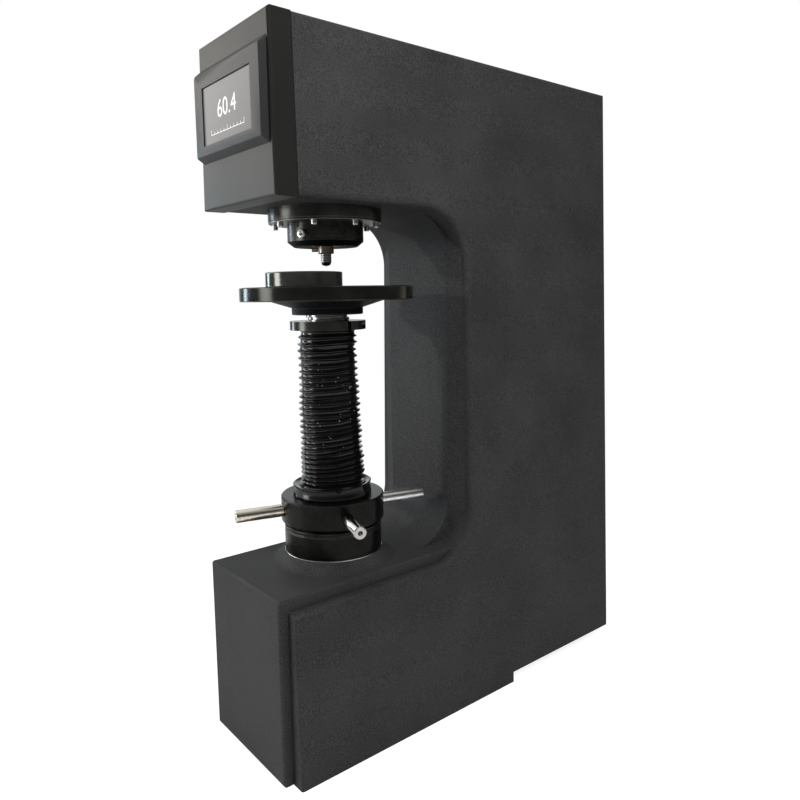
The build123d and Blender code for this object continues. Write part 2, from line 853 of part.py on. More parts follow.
# Guide posts: two hardened rods from the head's floor to the bridge
post_length = 102.0
bridge_bottom = head_floor_top + post_length
bridge_thickness = 12.0
bridge_top = bridge_bottom + bridge_thickness
with BuildPart() as guide_posts:
    with BuildSketch(level(head_floor_top)):
        with Locations((-post_spacing / 2, 0), (post_spacing / 2, 0)):
            Circle(guide_post_radius)
    extrude(amount=bridge_bottom - head_floor_top)
    with BuildSketch(level(bridge_bottom)):
        with Locations((-post_spacing / 2, 0), (post_spacing / 2, 0)):
            Circle(guide_post_radius - 2)
    extrude(amount=bridge_thickness + 8)
guide_posts.part.label = "guide_posts"
export_step(guide_posts.part, "parts/guide_posts.step")

# Bridge plate: ties the posts' tops and holds the ball screw's bearing
bearing_radius = 16.0
bearing_height = 11.0
with BuildPart() as bridge_plate:
    with BuildSketch(level(bridge_bottom)):
        RectangleRounded(crosshead_width, crosshead_depth, 8)
    extrude(amount=bridge_thickness)
    with BuildSketch(level(bridge_bottom)):
        with Locations((-post_spacing / 2, 0), (post_spacing / 2, 0)):
            Circle(guide_post_radius - 2)
        with Locations((0, 0)):
            Circle(bearing_radius)
    extrude(amount=bridge_thickness, mode=Mode.SUBTRACT)
bridge_plate.part.label = "bridge_plate"
export_step(bridge_plate.part, "parts/bridge_plate.step")

# Post nuts: one on each guide post, over the bridge
with BuildPart() as post_nuts:
    with BuildSketch(level(bridge_top)):
        with Locations((-post_spacing / 2, 0), (post_spacing / 2, 0)):
            RegularPolygon(radius=9.2, side_count=6)
            Circle(guide_post_radius - 2, mode=Mode.SUBTRACT)
    extrude(amount=6)
post_nuts.part.label = "post_nuts"
export_step(post_nuts.part, "parts/post_nuts.step")

# Ball screw bearing: in the bridge plate
ball_screw_bearing_blank = ring(
    ball_screw_radius + running_gap, bearing_radius, bridge_bottom + 0.5, bridge_bottom + 0.5 + bearing_height
)
with BuildPart() as ball_screw_bearing:
    add(ball_screw_bearing_blank.part)
ball_screw_bearing.part.label = "ball_screw_bearing"
export_step(ball_screw_bearing.part, "parts/ball_screw_bearing.step")

# Ball screw: turned by its pulley, it drives the ball nut
pulley_rise = 4.0
pulley_bottom = bridge_top + pulley_rise
pulley_height = 12.0
ball_screw_bottom = crosshead_top + 2
ball_screw_top = pulley_bottom + pulley_height + 3
ball_screw_blank = turned(
    [
        (0, ball_screw_bottom),
        (ball_screw_radius, ball_screw_bottom),
        (ball_screw_radius, ball_screw_top),
        (0, ball_screw_top),
    ]
)
with BuildPart() as ball_screw:
    add(ball_screw_blank.part)
ball_screw.part.label = "ball_screw"
export_step(ball_screw.part, "parts/ball_screw.step")


def toothed_pulley(centre_y, radius, bore, teeth):
    """A timing pulley with two thin side flanges, its axis upright at centre_y."""
    with BuildPart() as pulley:
        with BuildSketch(Plane((0, centre_y, pulley_bottom))):
            Circle(radius)
            with PolarLocations(radius, teeth):
                Circle(0.6, mode=Mode.SUBTRACT)
        extrude(amount=pulley_height)
        for low in (pulley_bottom, pulley_bottom + pulley_height - 1):
            with BuildSketch(Plane((0, centre_y, low))):
                Circle(radius + 2.5)
            extrude(amount=1)
        if bore:
            with BuildSketch(Plane((0, centre_y, pulley_bottom))):
                Circle(bore)
            extrude(amount=pulley_height, mode=Mode.SUBTRACT)
    return pulley


# Driven pulley: on the ball screw's upper end
driven_radius = 30.0
driven_pulley_blank = toothed_pulley(axis_y, driven_radius, ball_screw_radius, 60)
with BuildPart() as driven_pulley:
    add(driven_pulley_blank.part)
driven_pulley.part.label = "driven_pulley"
export_step(driven_pulley.part, "parts/driven_pulley.step")

# Motor pulley, with the motor's shaft
motor_reach = 106.0
motor_y = axis_y + motor_reach
motor_pulley_radius = 10.0
motor_shaft_radius = 3.175
bracket_drop = 4.0
motor_bracket_top = bridge_top - bracket_drop
motor_bracket_plate = 5.0
motor_top = motor_bracket_top - motor_bracket_plate
motor_shaft_length = pulley_bottom + pulley_height - motor_top + 12
motor_pulley_blank = toothed_pulley(motor_y, motor_pulley_radius, 0, 20)
with BuildPart() as motor_pulley:
    add(motor_pulley_blank.part)
    with BuildSketch(Plane((0, motor_y, pulley_bottom))):
        Circle(motor_shaft_radius)
    extrude(amount=motor_top - pulley_bottom - 12)
motor_pulley.part.label = "motor_pulley"
export_step(motor_pulley.part, "parts/motor_pulley.step")

# Timing belt: round both pulleys
belt_thickness = 1.4
belt_width = 9.0
belt_gap = 0.1
with BuildPart() as timing_belt:
    with BuildSketch(Plane.XY.offset(pulley_bottom + (pulley_height - belt_width) / 2)):
        with Locations((0, axis_y)):
            Circle(driven_radius + belt_gap + belt_thickness)
        with Locations((0, motor_y)):
            Circle(motor_pulley_radius + belt_gap + belt_thickness)
        make_hull()
        with BuildSketch(mode=Mode.PRIVATE) as belt_inside:
            with Locations((0, axis_y)):
                Circle(driven_radius + belt_gap)
            with Locations((0, motor_y)):
                Circle(motor_pulley_radius + belt_gap)
            make_hull()
        add(belt_inside.sketch, mode=Mode.SUBTRACT)
    extrude(amount=belt_width)
timing_belt.part.label = "timing_belt"
export_step(timing_belt.part, "parts/timing_belt.step")

# Load motor: a stepping motor hung under its bracket
motor_side = 56.4
motor_length = 62.0
motor_corner = 5
motor_shaft_depth = 16
motor_plug_width = 18
motor_plug_height = 8
motor_plug_depth = 6
with BuildPart() as load_motor:
    with BuildSketch(Plane((0, motor_y, motor_top - motor_length))):
        RectangleRounded(motor_side, motor_side, motor_corner)
    extrude(amount=motor_length)
    with BuildSketch(Plane((0, motor_y, motor_top))):
        Circle(motor_shaft_radius + running_gap)
    extrude(amount=-motor_shaft_depth, mode=Mode.SUBTRACT)
    motor_plug_z = motor_top - motor_length + motor_plug_height
    with BuildSketch(Plane((0, motor_y + motor_side / 2, motor_plug_z), x_dir=(1, 0, 0), z_dir=(0, 1, 0))):
        Rectangle(motor_plug_width, motor_plug_height)
    extrude(amount=motor_plug_depth)
load_motor.part.label = "load_motor"
export_step(load_motor.part, "parts/load_motor.step")

# Motor bracket: a folded bridge on the head's floor
bracket_width = 84.0
bracket_depth = 62.0
bracket_foot = 14.0
with BuildPart() as motor_bracket:
    with BuildSketch(Plane((0, motor_y, motor_top))):
        Rectangle(bracket_width, bracket_depth)
        Circle(motor_shaft_radius + 3, mode=Mode.SUBTRACT)
    extrude(amount=motor_bracket_plate)
    for side in (-1, 1):
        with BuildSketch(Plane((side * (bracket_width - motor_bracket_plate) / 2, motor_y, head_floor_top))):
            Rectangle(motor_bracket_plate, bracket_depth)
        extrude(amount=motor_top - head_floor_top)
        with BuildSketch(Plane((side * (bracket_width + bracket_foot) / 2, motor_y, head_floor_top))):
            Rectangle(bracket_foot, bracket_depth)
        extrude(amount=motor_bracket_plate)
motor_bracket.part.label = "motor_bracket"
export_step(motor_bracket.part, "parts/motor_bracket.step")

# Glass scale on the crosshead's back, and the depth reader that faces it
scale_width = 12.0
scale_height = 30.0
scale_thickness = 2.0
crosshead_back = axis_y + crosshead_depth / 2
with BuildPart() as glass_scale:
    with BuildSketch(Plane((0, crosshead_back, crosshead_top - 7), x_dir=(1, 0, 0), z_dir=(0, 1, 0))):
        Rectangle(scale_width, scale_height)
    extrude(amount=scale_thickness)
glass_scale.part.label = "glass_scale"
export_step(glass_scale.part, "parts/glass_scale.step")

reader_gap = 0.3
reader_front = crosshead_back + scale_thickness + reader_gap
reader_width = 22
reader_depth = 14
reader_rise = 8
reader_foot_width = 40
reader_foot_thickness = 4
with BuildPart() as depth_reader:
    with BuildSketch(Plane((0, reader_front + reader_depth / 2, head_floor_top))):
        Rectangle(reader_width, reader_depth)
    extrude(amount=crosshead_top + reader_rise - head_floor_top)
    with BuildSketch(Plane((0, reader_front + reader_depth / 2, head_floor_top))):
        Rectangle(reader_foot_width, reader_depth)
    extrude(amount=reader_foot_thickness)
depth_reader.part.label = "depth_reader"
export_step(depth_reader.part, "parts/depth_reader.step")

# Lifting screw: a plain cylinder at the thread's outside, with a key groove up its back
lift_screw_radius = 25.5
test_gap = 6.9
block_height = 17.0
table_thickness = 16.0
table_hub_height = 16.2
table_top = tip_bottom - test_gap - block_height
table_bottom = table_top - table_thickness
table_hub_bottom = table_bottom - table_hub_height
lift_screw_length = 349.0
lift_screw_bottom = table_hub_bottom - lift_screw_length
spigot_radius = 15.0
spigot_length = 23.5
groove_width = 8.2
groove_depth = 5.2
groove_length = 195.0
groove_top = lift_screw_bottom + groove_length
lifting_screw_blank = turned(
    [
        (0, lift_screw_bottom),
        (lift_screw_radius - 2, lift_screw_bottom),
        (lift_screw_radius, lift_screw_bottom + 2),
        (lift_screw_radius, table_hub_bottom),
        (spigot_radius, table_hub_bottom),
        (spigot_radius, table_hub_bottom + spigot_length),
        (0, table_hub_bottom + spigot_length),
    ]
)
with BuildPart() as lifting_screw:
    add(lifting_screw_blank.part)
    with BuildSketch(level(lift_screw_bottom)):
        with Locations((0, lift_screw_radius)):
            Rectangle(groove_width, 2 * groove_depth)
    extrude(amount=groove_top - lift_screw_bottom, mode=Mode.SUBTRACT)
lifting_screw.part.label = "lifting_screw"
export_step(lifting_screw.part, "parts/lifting_screw.step")

# Table: a large round face on a short hub, bored from below for the screw's spigot
table_radius = 101.7
table_hub_radius = 42.0
table_cone_radius = 68.0
table_cone_height = 8.2
table_chamfer = 1.0
table_blank = turned(
    [
        (0, table_top),
        (table_radius - table_chamfer, table_top),
        (table_radius, table_top - table_chamfer),
        (table_radius, table_bottom + table_chamfer),
        (table_radius - table_chamfer, table_bottom),
        (table_cone_radius, table_bottom),
        (table_hub_radius, table_bottom - table_cone_height),
        (table_hub_radius, table_hub_bottom + table_chamfer),
        (table_hub_radius - table_chamfer, table_hub_bottom),
        (spigot_radius, table_hub_bottom),
        (spigot_radius, table_hub_bottom + spigot_length),
        (0, table_hub_bottom + spigot_length),
    ]
)
table_screw_radius = 2.0
table_screw_rise = 3.9
table_screw_height = table_hub_bottom + table_screw_rise
table_screw_plane = Plane(
    origin=(0, axis_y + table_hub_radius, table_screw_height), x_dir=(-1, 0, 0), z_dir=(0, 1, 0)
)
table_screw_reach = table_hub_radius - spigot_radius
with BuildPart() as table:
    add(table_blank.part)
    with BuildSketch(table_screw_plane.offset(1)):
        Circle(table_screw_radius)
    extrude(amount=-table_screw_reach - 1, mode=Mode.SUBTRACT)
table.part.label = "table"
export_step(table.part, "parts/table.step")

# Table set screw: headless, at the back of the hub
with BuildPart() as table_set_screw:
    with BuildSketch(table_screw_plane.offset(-1)):
        Circle(table_screw_radius)
    extrude(amount=1 - table_screw_reach)
    with BuildSketch(table_screw_plane.offset(-1)):
        RegularPolygon(radius=1.15, side_count=6)
    extrude(amount=-3, mode=Mode.SUBTRACT)
table_set_screw.part.label = "table_set_screw"
export_step(table_set_screw.part, "parts/table_set_screw.step")

# Round block: a loose flat anvil or reference block, laid a little forward of the axis
block_radius = 44.2
block_forward = 31.0
block_chamfer = 0.8
block_plane = Plane((0, axis_y - block_forward, table_top))
with BuildPart() as round_block:
    with BuildSketch(block_plane):
        Circle(block_radius)
    extrude(amount=block_height)
    chamfer(round_block.edges().filter_by(GeomType.CIRCLE), length=block_chamfer)
round_block.part.label = "round_block"
export_step(round_block.part, "parts/round_block.step")

# Bellows collar: a split clamp on the screw's neck that holds the bellows' upper end
collar_radius = 44.8
neck_length = 7.2
collar_thickness = 10.4
collar_top = table_hub_bottom - neck_length
collar_bottom = collar_top - collar_thickness
slit_width = 5.0
slit_reach = 28.0
clamp_screw_radius = 2.5
clamp_screw_x = 36.0
clamp_head_radius = 4.2
clamp_head_y = 13.0
clamp_screw_length = 30.0
collar_middle = (collar_top + collar_bottom) / 2
bellows_collar_blank = ring(lift_screw_radius, collar_radius, collar_bottom, collar_top)
clamp_plane = Plane(
    origin=(clamp_screw_x, axis_y + clamp_head_y, collar_middle), x_dir=(-1, 0, 0), z_dir=(0, 1, 0)
)
with BuildPart() as bellows_collar:
    add(bellows_collar_blank.part)
    with BuildSketch(level(collar_bottom)):
        with Locations((lift_screw_radius - 1, 0)):
            Rectangle(slit_reach, slit_width, align=(Align.MIN, Align.CENTER))
    extrude(amount=collar_top - collar_bottom, mode=Mode.SUBTRACT)
    with BuildSketch(clamp_plane):
        Circle(clamp_head_radius)
    extrude(amount=collar_radius, mode=Mode.SUBTRACT)
    with BuildSketch(clamp_plane):
        Circle(clamp_screw_radius)
    extrude(amount=-clamp_screw_length, mode=Mode.SUBTRACT)
bellows_collar.part.label = "bellows_collar"
export_step(bellows_collar.part, "parts/bellows_collar.step")

# Collar screw: draws the split closed
collar_screw_blank = socket_screws(
    clamp_plane, [(0, 0)], clamp_screw_radius, clamp_screw_length - 1, clamp_head_radius - 0.2, 5.0
)
with BuildPart() as collar_screw:
    add(collar_screw_blank.part)
collar_screw.part.label = "collar_screw"
export_step(collar_screw.part, "parts/collar_screw.step")

# Handwheel hub: the capstan that the four bars turn
hub_radius = 61.8
hub_height = 32.7
hub_top = hub_bottom + hub_height
hub_foot_chamfer = 4.0
hub_top_chamfer = 1.2
nut_radius = 40.0
nut_flange_radius = 46.0
nut_flange_height = 5.0
nut_recess = 7.0
nut_recess_floor = hub_top - nut_recess
bar_radius = 7.4
bar_rise = 17.3
bar_height = hub_bottom + bar_rise
bar_first_angle = 70.5
bar_inner = 48.0
bar_outer = 117.0
bar_chamfer = 1.2
handwheel_hub_blank = turned(
    [
        (nut_radius, hub_bottom),
        (hub_radius - hub_foot_chamfer, hub_bottom),
        (hub_radius, hub_bottom + hub_foot_chamfer),
        (hub_radius, hub_top - hub_top_chamfer),
        (hub_radius - hub_top_chamfer, hub_top),
        (nut_flange_radius + slip_gap, hub_top),
        (nut_flange_radius + slip_gap, nut_recess_floor),
        (nut_radius, nut_recess_floor),
    ]
)


def bar_plane(angle):
    """The plane across a bar at its inner end, facing outwards."""
    outward = (sin(radians(angle)), -cos(radians(angle)), 0)
    return Plane(
        origin=(bar_inner * outward[0], axis_y + bar_inner * outward[1], bar_height),
        x_dir=(-outward[1], outward[0], 0),
        z_dir=outward,
    )


bar_angles = [bar_first_angle + 90 * turn for turn in range(4)]
nut_screw_circle = 43.0
nut_screw_radius = 1.3
nut_screw_length = 12.0
with BuildPart() as handwheel_hub:
    add(handwheel_hub_blank.part)
    for angle in bar_angles:
        with BuildSketch(bar_plane(angle)):
            Circle(bar_radius)
        extrude(amount=hub_radius, mode=Mode.SUBTRACT)
    with BuildSketch(level(nut_recess_floor)):
        with Locations(*circle_of(nut_screw_circle, 4, bar_first_angle + 45)):
            Circle(nut_screw_radius)
    extrude(amount=nut_flange_height - nut_screw_length, mode=Mode.SUBTRACT)
handwheel_hub.part.label = "handwheel_hub"
export_step(handwheel_hub.part, "parts/handwheel_hub.step")

# Handle bars: four polished rods screwed into the hub
with BuildPart() as handle_bars:
    for angle in bar_angles:
        with BuildSketch(bar_plane(angle)):
            Circle(bar_radius)
        extrude(amount=bar_outer - bar_inner)
    outer_ends = [
        edge
        for edge in handle_bars.edges().filter_by(GeomType.CIRCLE)
        if (edge.arc_center - Vector(0, axis_y, bar_height)).length > (bar_inner + bar_outer) / 2
    ]
    chamfer(outer_ends, length=bar_chamfer)
handle_bars.part.label = "handle_bars"
export_step(handle_bars.part, "parts/handle_bars.step")

# Lifting nut: bronze, flanged, screwed down in the hub
lifting_nut_blank = turned(
    [
        (lift_screw_radius + running_gap, hub_bottom),
        (nut_radius, hub_bottom),
        (nut_radius, nut_recess_floor),
        (nut_flange_radius, nut_recess_floor),
        (nut_flange_radius, nut_recess_floor + nut_flange_height),
        (lift_screw_radius + running_gap, nut_recess_floor + nut_flange_height),
    ]
)
with BuildPart() as lifting_nut:
    add(lifting_nut_blank.part)
    with BuildSketch(level(nut_recess_floor)):
        with Locations(*circle_of(nut_screw_circle, 4, bar_first_angle + 45)):
            Circle(nut_screw_radius)
    extrude(amount=nut_flange_height, mode=Mode.SUBTRACT)
lifting_nut.part.label = "lifting_nut"
export_step(lifting_nut.part, "parts/lifting_nut.step")

# Nut screws: four, low-headed, holding the nut's flange in the hub
nut_screws_blank = socket_screws(
    level(nut_recess_floor + nut_flange_height),
    circle_of(nut_screw_circle, 4, bar_first_angle + 45),
    nut_screw_radius,
    nut_screw_length,
    2.4,
    1.4,
)
with BuildPart() as nut_screws:
    add(nut_screws_blank.part)
nut_screws.part.label = "nut_screws"
export_step(nut_screws.part, "parts/nut_screws.step")

# Thrust bearing: two races with a ring of balls between, let into the base ring
race_inner = 36.0
race_outer = 50.0
race_thickness = 2.5
race_ball_radius = 3.0
race_ball_circle = 43.0
race_ball_count = 16
upper_race_bottom = hub_bottom - race_thickness
lower_race_top = upper_race_bottom - running_gap - 2 * race_ball_radius
lower_race_bottom = lower_race_top - race_thickness
thrust_race_upper_blank = ring(race_inner, race_outer, upper_race_bottom, hub_bottom)
with BuildPart() as thrust_race_upper:
    add(thrust_race_upper_blank.part)
thrust_race_upper.part.label = "thrust_race_upper"
export_step(thrust_race_upper.part, "parts/thrust_race_upper.step")

with BuildPart() as thrust_bearing:
    with BuildSketch(level(lower_race_bottom)):
        Circle(race_outer)
        Circle(race_inner, mode=Mode.SUBTRACT)
    extrude(amount=race_thickness)
    with Locations(*[(x, axis_y + y, lower_race_top + race_ball_radius) for x, y in circle_of(race_ball_circle, race_ball_count)]):
        Sphere(race_ball_radius)
thrust_bearing.part.label = "thrust_bearing"
export_step(thrust_bearing.part, "parts/thrust_bearing.step")

# Base ring: bolted on the base, it carries the thrust bearing under the handwheel
lip_height = 3.5
groove_height = 1.6
groove_in = 1.6
base_ring_blank = turned(
    [
        (bush_radius, pad_top),
        (ring_radius, pad_top),
        (ring_radius, ring_top - lip_height - groove_height),
        (ring_radius - groove_in, ring_top - lip_height - groove_height),
        (ring_radius - groove_in, ring_top - lip_height),
        (ring_radius, ring_top - lip_height),
        (ring_radius, ring_top),
        (race_outer + slip_gap, ring_top),
        (race_outer + slip_gap, lower_race_bottom),
        (bush_radius, lower_race_bottom),
    ]
)
with BuildPart() as base_ring:
    add(base_ring_blank.part)
    with BuildSketch(level(pad_top)):
        with Locations(*circle_of(ring_screw_circle, 4, 45)):
            Circle(ring_screw_radius)
    extrude(amount=ring_screw_length - (pad_top - roof_underside) + 1, mode=Mode.SUBTRACT)
base_ring.part.label = "base_ring"
export_step(base_ring.part, "parts/base_ring.step")

# Base ring screws: four, up through the base's roof
ring_screw_plane = Plane(origin=(0, axis_y, roof_underside), x_dir=(1, 0, 0), z_dir=(0, 0, -1))
base_ring_screws_blank = socket_screws(
    ring_screw_plane, circle_of(ring_screw_circle, 4, 45), ring_screw_radius, ring_screw_length, 6.5, 8.0
)
with BuildPart() as base_ring_screws:
    add(base_ring_screws_blank.part)
base_ring_screws.part.label = "base_ring_screws"
export_step(base_ring_screws.part, "parts/base_ring_screws.step")

# Screw guide bush: bronze, through the base's roof and the base ring
bush_below_roof = 14.0
bush_bottom = roof_underside - bush_below_roof
bush_top = lower_race_bottom - 1.0
key_width = 8.0
key_clearance = 1.0
key_length = 34.0
key_bottom = roof_underside + 2 * key_clearance
key_top = key_bottom + key_length
key_tip = lift_screw_radius - groove_depth + 0.3
screw_guide_bush_blank = ring(lift_screw_radius + running_gap, bush_radius, bush_bottom, bush_top)
with BuildPart() as screw_guide_bush:
    add(screw_guide_bush_blank.part)
    with BuildSketch(level(key_bottom)):
        with Locations((0, lift_screw_radius - 1)):
            Rectangle(key_width, bush_radius, align=(Align.CENTER, Align.MIN))
    extrude(amount=key_top - key_bottom, mode=Mode.SUBTRACT)
screw_guide_bush.part.label = "screw_guide_bush"
export_step(screw_guide_bush.part, "parts/screw_guide_bush.step")

# Guide key: stops the lifting screw turning with the nut
with BuildPart() as guide_key:
    with BuildSketch(level(key_bottom)):
        with Locations((0, key_tip)):
            Rectangle(key_width, bush_radius - 0.6 - key_tip, align=(Align.CENTER, Align.MIN))
    extrude(amount=key_top - key_bottom)
guide_key.part.label = "guide_key"
export_step(guide_key.part, "parts/guide_key.step")

# Bellows cuff: the rubber foot that rests over the hub
cuff_radius = 47.4
cuff_height = 13.5
cuff_bottom = hub_top + slip_gap
cuff_top = cuff_bottom + cuff_height
bellows_inner_foot = 30.5
bellows_cuff_blank = turned(
    [
        (bellows_inner_foot, cuff_bottom),
        (cuff_radius - 1, cuff_bottom),
        (cuff_radius, cuff_bottom + 1),
        (cuff_radius - 1.2, cuff_top - 3),
        (cuff_radius - 0.4, cuff_top - 1.8),
        (cuff_radius - 1.2, cuff_top),
        (bellows_inner_foot, cuff_top),
    ]
)
with BuildPart() as bellows_cuff:
    add(bellows_cuff_blank.part)
bellows_cuff.part.label = "bellows_cuff"
export_step(bellows_cuff.part, "parts/bellows_cuff.step")

# Bellows: thin rubber folds between cuff and collar, a little wider and closer towards the foot
fold_count = 27
fold_depth = 5.5
bellows_wall = 1.2
bellows_top_radius = 33.5
bellows_foot_radius = 38.0
fold_crowding = 0.23
bellows_low = cuff_top
bellows_high = collar_bottom


def fold_point(step, inward):
    """Radius and height of the bellows' fold line after so many half folds."""
    share = step / (2 * fold_count)
    along = share * (1 - fold_crowding * (1 - share))
    outer = bellows_foot_radius + (bellows_top_radius - bellows_foot_radius) * along
    crest = step % 2
    radius = outer - (0 if crest else fold_depth) - inward
    return (radius, bellows_low + (bellows_high - bellows_low) * along)


fold_steps = range(2 * fold_count + 1)
bellows_blank = turned(
    [fold_point(step, 0) for step in fold_steps] + [fold_point(step, bellows_wall) for step in reversed(fold_steps)]
)
with BuildPart() as bellows:
    add(bellows_blank.part)
bellows.part.label = "bellows"
export_step(bellows.part, "parts/bellows.step")

# Rear cover: a sheet plate let into the back of the casting, with the inlet's cut-out and vent slots
inlet_x = 42.0
inlet_rise = 70.5
inlet_z = rear_floor_top + inlet_rise
inlet_body_width = 28.0
inlet_body_height = 48.0
inlet_cut_gap = 0.3
cover_face_y = rear_y - rebate_depth + cover_plate
cover_low = rear_opening_low - rebate_width + cover_edge_gap
cover_high = rear_opening_high + rebate_width - cover_edge_gap
cover_inset = wall - rebate_width + cover_edge_gap
vent_rows = 9
vent_pitch = 9.0
vent_length = 70.0
vent_height = 3.2
vent_drop = 200.0
vent_centre_z = overall_height - vent_drop
with BuildPart() as rear_cover:
    with BuildSketch(cross_plane(cover_face_y)):
        with BuildLine():
            Polyline(
                (half_width(cover_low) - cover_inset, cover_low),
                (half_width(cover_high) - cover_inset, cover_high),
                (cover_inset - half_width(cover_high), cover_high),
                (cover_inset - half_width(cover_low), cover_low),
                close=True,
            )
        make_face()
        with Locations(*rear_screw_places):
            Circle(cover_screw_radius + screw_hole_gap, mode=Mode.SUBTRACT)
        with Locations((inlet_x, inlet_z)):
            Rectangle(inlet_body_width + 2 * inlet_cut_gap, inlet_body_height + 2 * inlet_cut_gap, mode=Mode.SUBTRACT)
        with Locations((0, vent_centre_z)):
            with GridLocations(1, vent_pitch, 1, vent_rows):
                SlotOverall(vent_length, vent_height, mode=Mode.SUBTRACT)
    extrude(amount=cover_plate)
rear_cover.part.label = "rear_cover"
export_step(rear_cover.part, "parts/rear_cover.step")

# Rear cover screws: eight, round the plate's edge
rear_screw_plane = Plane(origin=(0, cover_face_y, 0), x_dir=(-1, 0, 0), z_dir=(0, 1, 0))
rear_cover_screws_blank = socket_screws(
    rear_screw_plane, [(-x, z) for x, z in rear_screw_places], cover_screw_radius, cover_plate + 7.0, 2.75, 2.2
)
with BuildPart() as rear_cover_screws:
    add(rear_cover_screws_blank.part)
rear_cover_screws.part.label = "rear_cover_screws"
export_step(rear_cover_screws.part, "parts/rear_cover_screws.step")

# Power inlet: a moulded socket with three pins, and a round pocket for the switch above it
inlet_flange_width = 34.0
inlet_flange_height = 54.0
inlet_flange = 2.5
inlet_depth = 30.0
socket_width = 24.4
socket_height = 16.4
socket_depth = 16.0
socket_drop = 11.0
pin_spacing = 7.0
switch_rise = 12.5
switch_width = 18.0
switch_radius = 6.6
switch_gap = 0.25
inlet_face_y = cover_face_y + inlet_flange
switch_y = inlet_face_y - 3.4
outward_plane = Plane(origin=(inlet_x, inlet_face_y, inlet_z), x_dir=(-1, 0, 0), z_dir=(0, 1, 0))
with BuildPart() as power_inlet:
    with BuildSketch(outward_plane):
        RectangleRounded(inlet_flange_width, inlet_flange_height, 3)
    extrude(amount=-inlet_flange)
    with BuildSketch(outward_plane):
        Rectangle(inlet_body_width, inlet_body_height)
    extrude(amount=-inlet_depth)
    with BuildSketch(outward_plane):
        with Locations((0, -socket_drop)):
            RectangleRounded(socket_width, socket_height, 2)
    extrude(amount=-socket_depth, mode=Mode.SUBTRACT)
    with BuildSketch(outward_plane.offset(-socket_depth)):
        with Locations((-pin_spacing, -socket_drop + 2), (0, -socket_drop - 2), (pin_spacing, -socket_drop + 2)):
            Rectangle(2, 4)
    extrude(amount=socket_depth - 5)
    with BuildSketch(Plane((inlet_x - switch_width / 2 - switch_gap, switch_y, inlet_z + switch_rise), x_dir=(0, 1, 0), z_dir=(1, 0, 0))):
        Circle(switch_radius + switch_gap)
    extrude(amount=switch_width + 2 * switch_gap, mode=Mode.SUBTRACT)
power_inlet.part.label = "power_inlet"
export_step(power_inlet.part, "parts/power_inlet.step")

# Power switch: a rocker in the inlet's round pocket, its face a shallow V
rocker_lean = 9.0
rocker_face = 3.2
rocker_end = Plane((inlet_x - switch_width / 2, switch_y, inlet_z + switch_rise), x_dir=(0, 1, 0), z_dir=(1, 0, 0))
with BuildPart() as power_switch:
    with BuildSketch(rocker_end):
        Circle(switch_radius)
        for lean in (0, 2 * rocker_lean):
            with Locations(Location((rocker_face, 0), lean if lean else 0)):
                Rectangle(2 * switch_radius, 4 * switch_radius, align=(Align.MIN, Align.CENTER), mode=Mode.SUBTRACT)
    extrude(amount=switch_width)
power_switch.part.label = "power_switch"
export_step(power_switch.part, "parts/power_switch.step")

# Main board on its four standoffs, inside the column's front wall
board_lift = 37.0
board_width = 104.0
board_height = 200.0
main_board_z = (base_height + head_underside) / 2 + board_lift
standoff_length = 8.0
standoff_radius = 3.0
standoff_inset = 9.0
standoff_x = board_width / 2 - standoff_inset
standoff_z = board_height / 2 - standoff_inset
standoff_places = [(x, main_board_z + z) for x in (-standoff_x, standoff_x) for z in (-standoff_z, standoff_z)]
with BuildPart() as board_standoffs:
    with BuildSketch(cross_plane(column_inside_y + standoff_length)):
        with Locations(*standoff_places):
            Circle(standoff_radius)
    extrude(amount=standoff_length)
board_standoffs.part.label = "board_standoffs"
export_step(board_standoffs.part, "parts/board_standoffs.step")

chip_side = 26.0
chip_offset = 20.0
chip_height = 7.0
header_length = 60.0
header_depth = 12.0
header_z = board_height / 2 - header_depth
board_back_y = column_inside_y + standoff_length + board_thickness
with BuildPart() as main_board:
    with BuildSketch(cross_plane(board_back_y)):
        with Locations((0, main_board_z)):
            Rectangle(board_width, board_height)
    extrude(amount=board_thickness)
    with BuildSketch(cross_plane(board_back_y)):
        with Locations((-chip_offset, main_board_z + 2 * chip_offset), (chip_offset, main_board_z - chip_offset)):
            Rectangle(chip_side, chip_side)
        with Locations((0, main_board_z + header_z), (0, main_board_z - header_z)):
            Rectangle(header_length, header_depth)
    extrude(amount=-chip_height)
main_board.part.label = "main_board"
export_step(main_board.part, "parts/main_board.step")

# Power supply: a vented steel box on the base's floor
supply_width = 98.0
supply_length = 160.0
supply_height = 42.0
supply_y = foot_end_y - wall - supply_length / 2 - 12
supply_slot_gap = 9
supply_slot_step = 20
supply_slot_columns = 8
supply_slot_rows = 6
supply_slot_length = 14
supply_slot_width = 3.5
supply_slot_depth = 1.5
with BuildPart() as power_supply:
    with BuildSketch(Plane((0, supply_y, floor_top))):
        Rectangle(supply_width, supply_length)
    extrude(amount=supply_height)
    with BuildSketch(Plane((0, supply_y, floor_top + supply_height))):
        with GridLocations(supply_slot_gap, supply_slot_step, supply_slot_columns, supply_slot_rows):
            SlotOverall(supply_slot_length, supply_slot_width, rotation=90)
    extrude(amount=-supply_slot_depth, mode=Mode.SUBTRACT)
power_supply.part.label = "power_supply"
export_step(power_supply.part, "parts/power_supply.step")
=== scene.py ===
from math import ceil, cos, pi, radians, sin

import bmesh
import bpy
from mathutils import Matrix, Vector


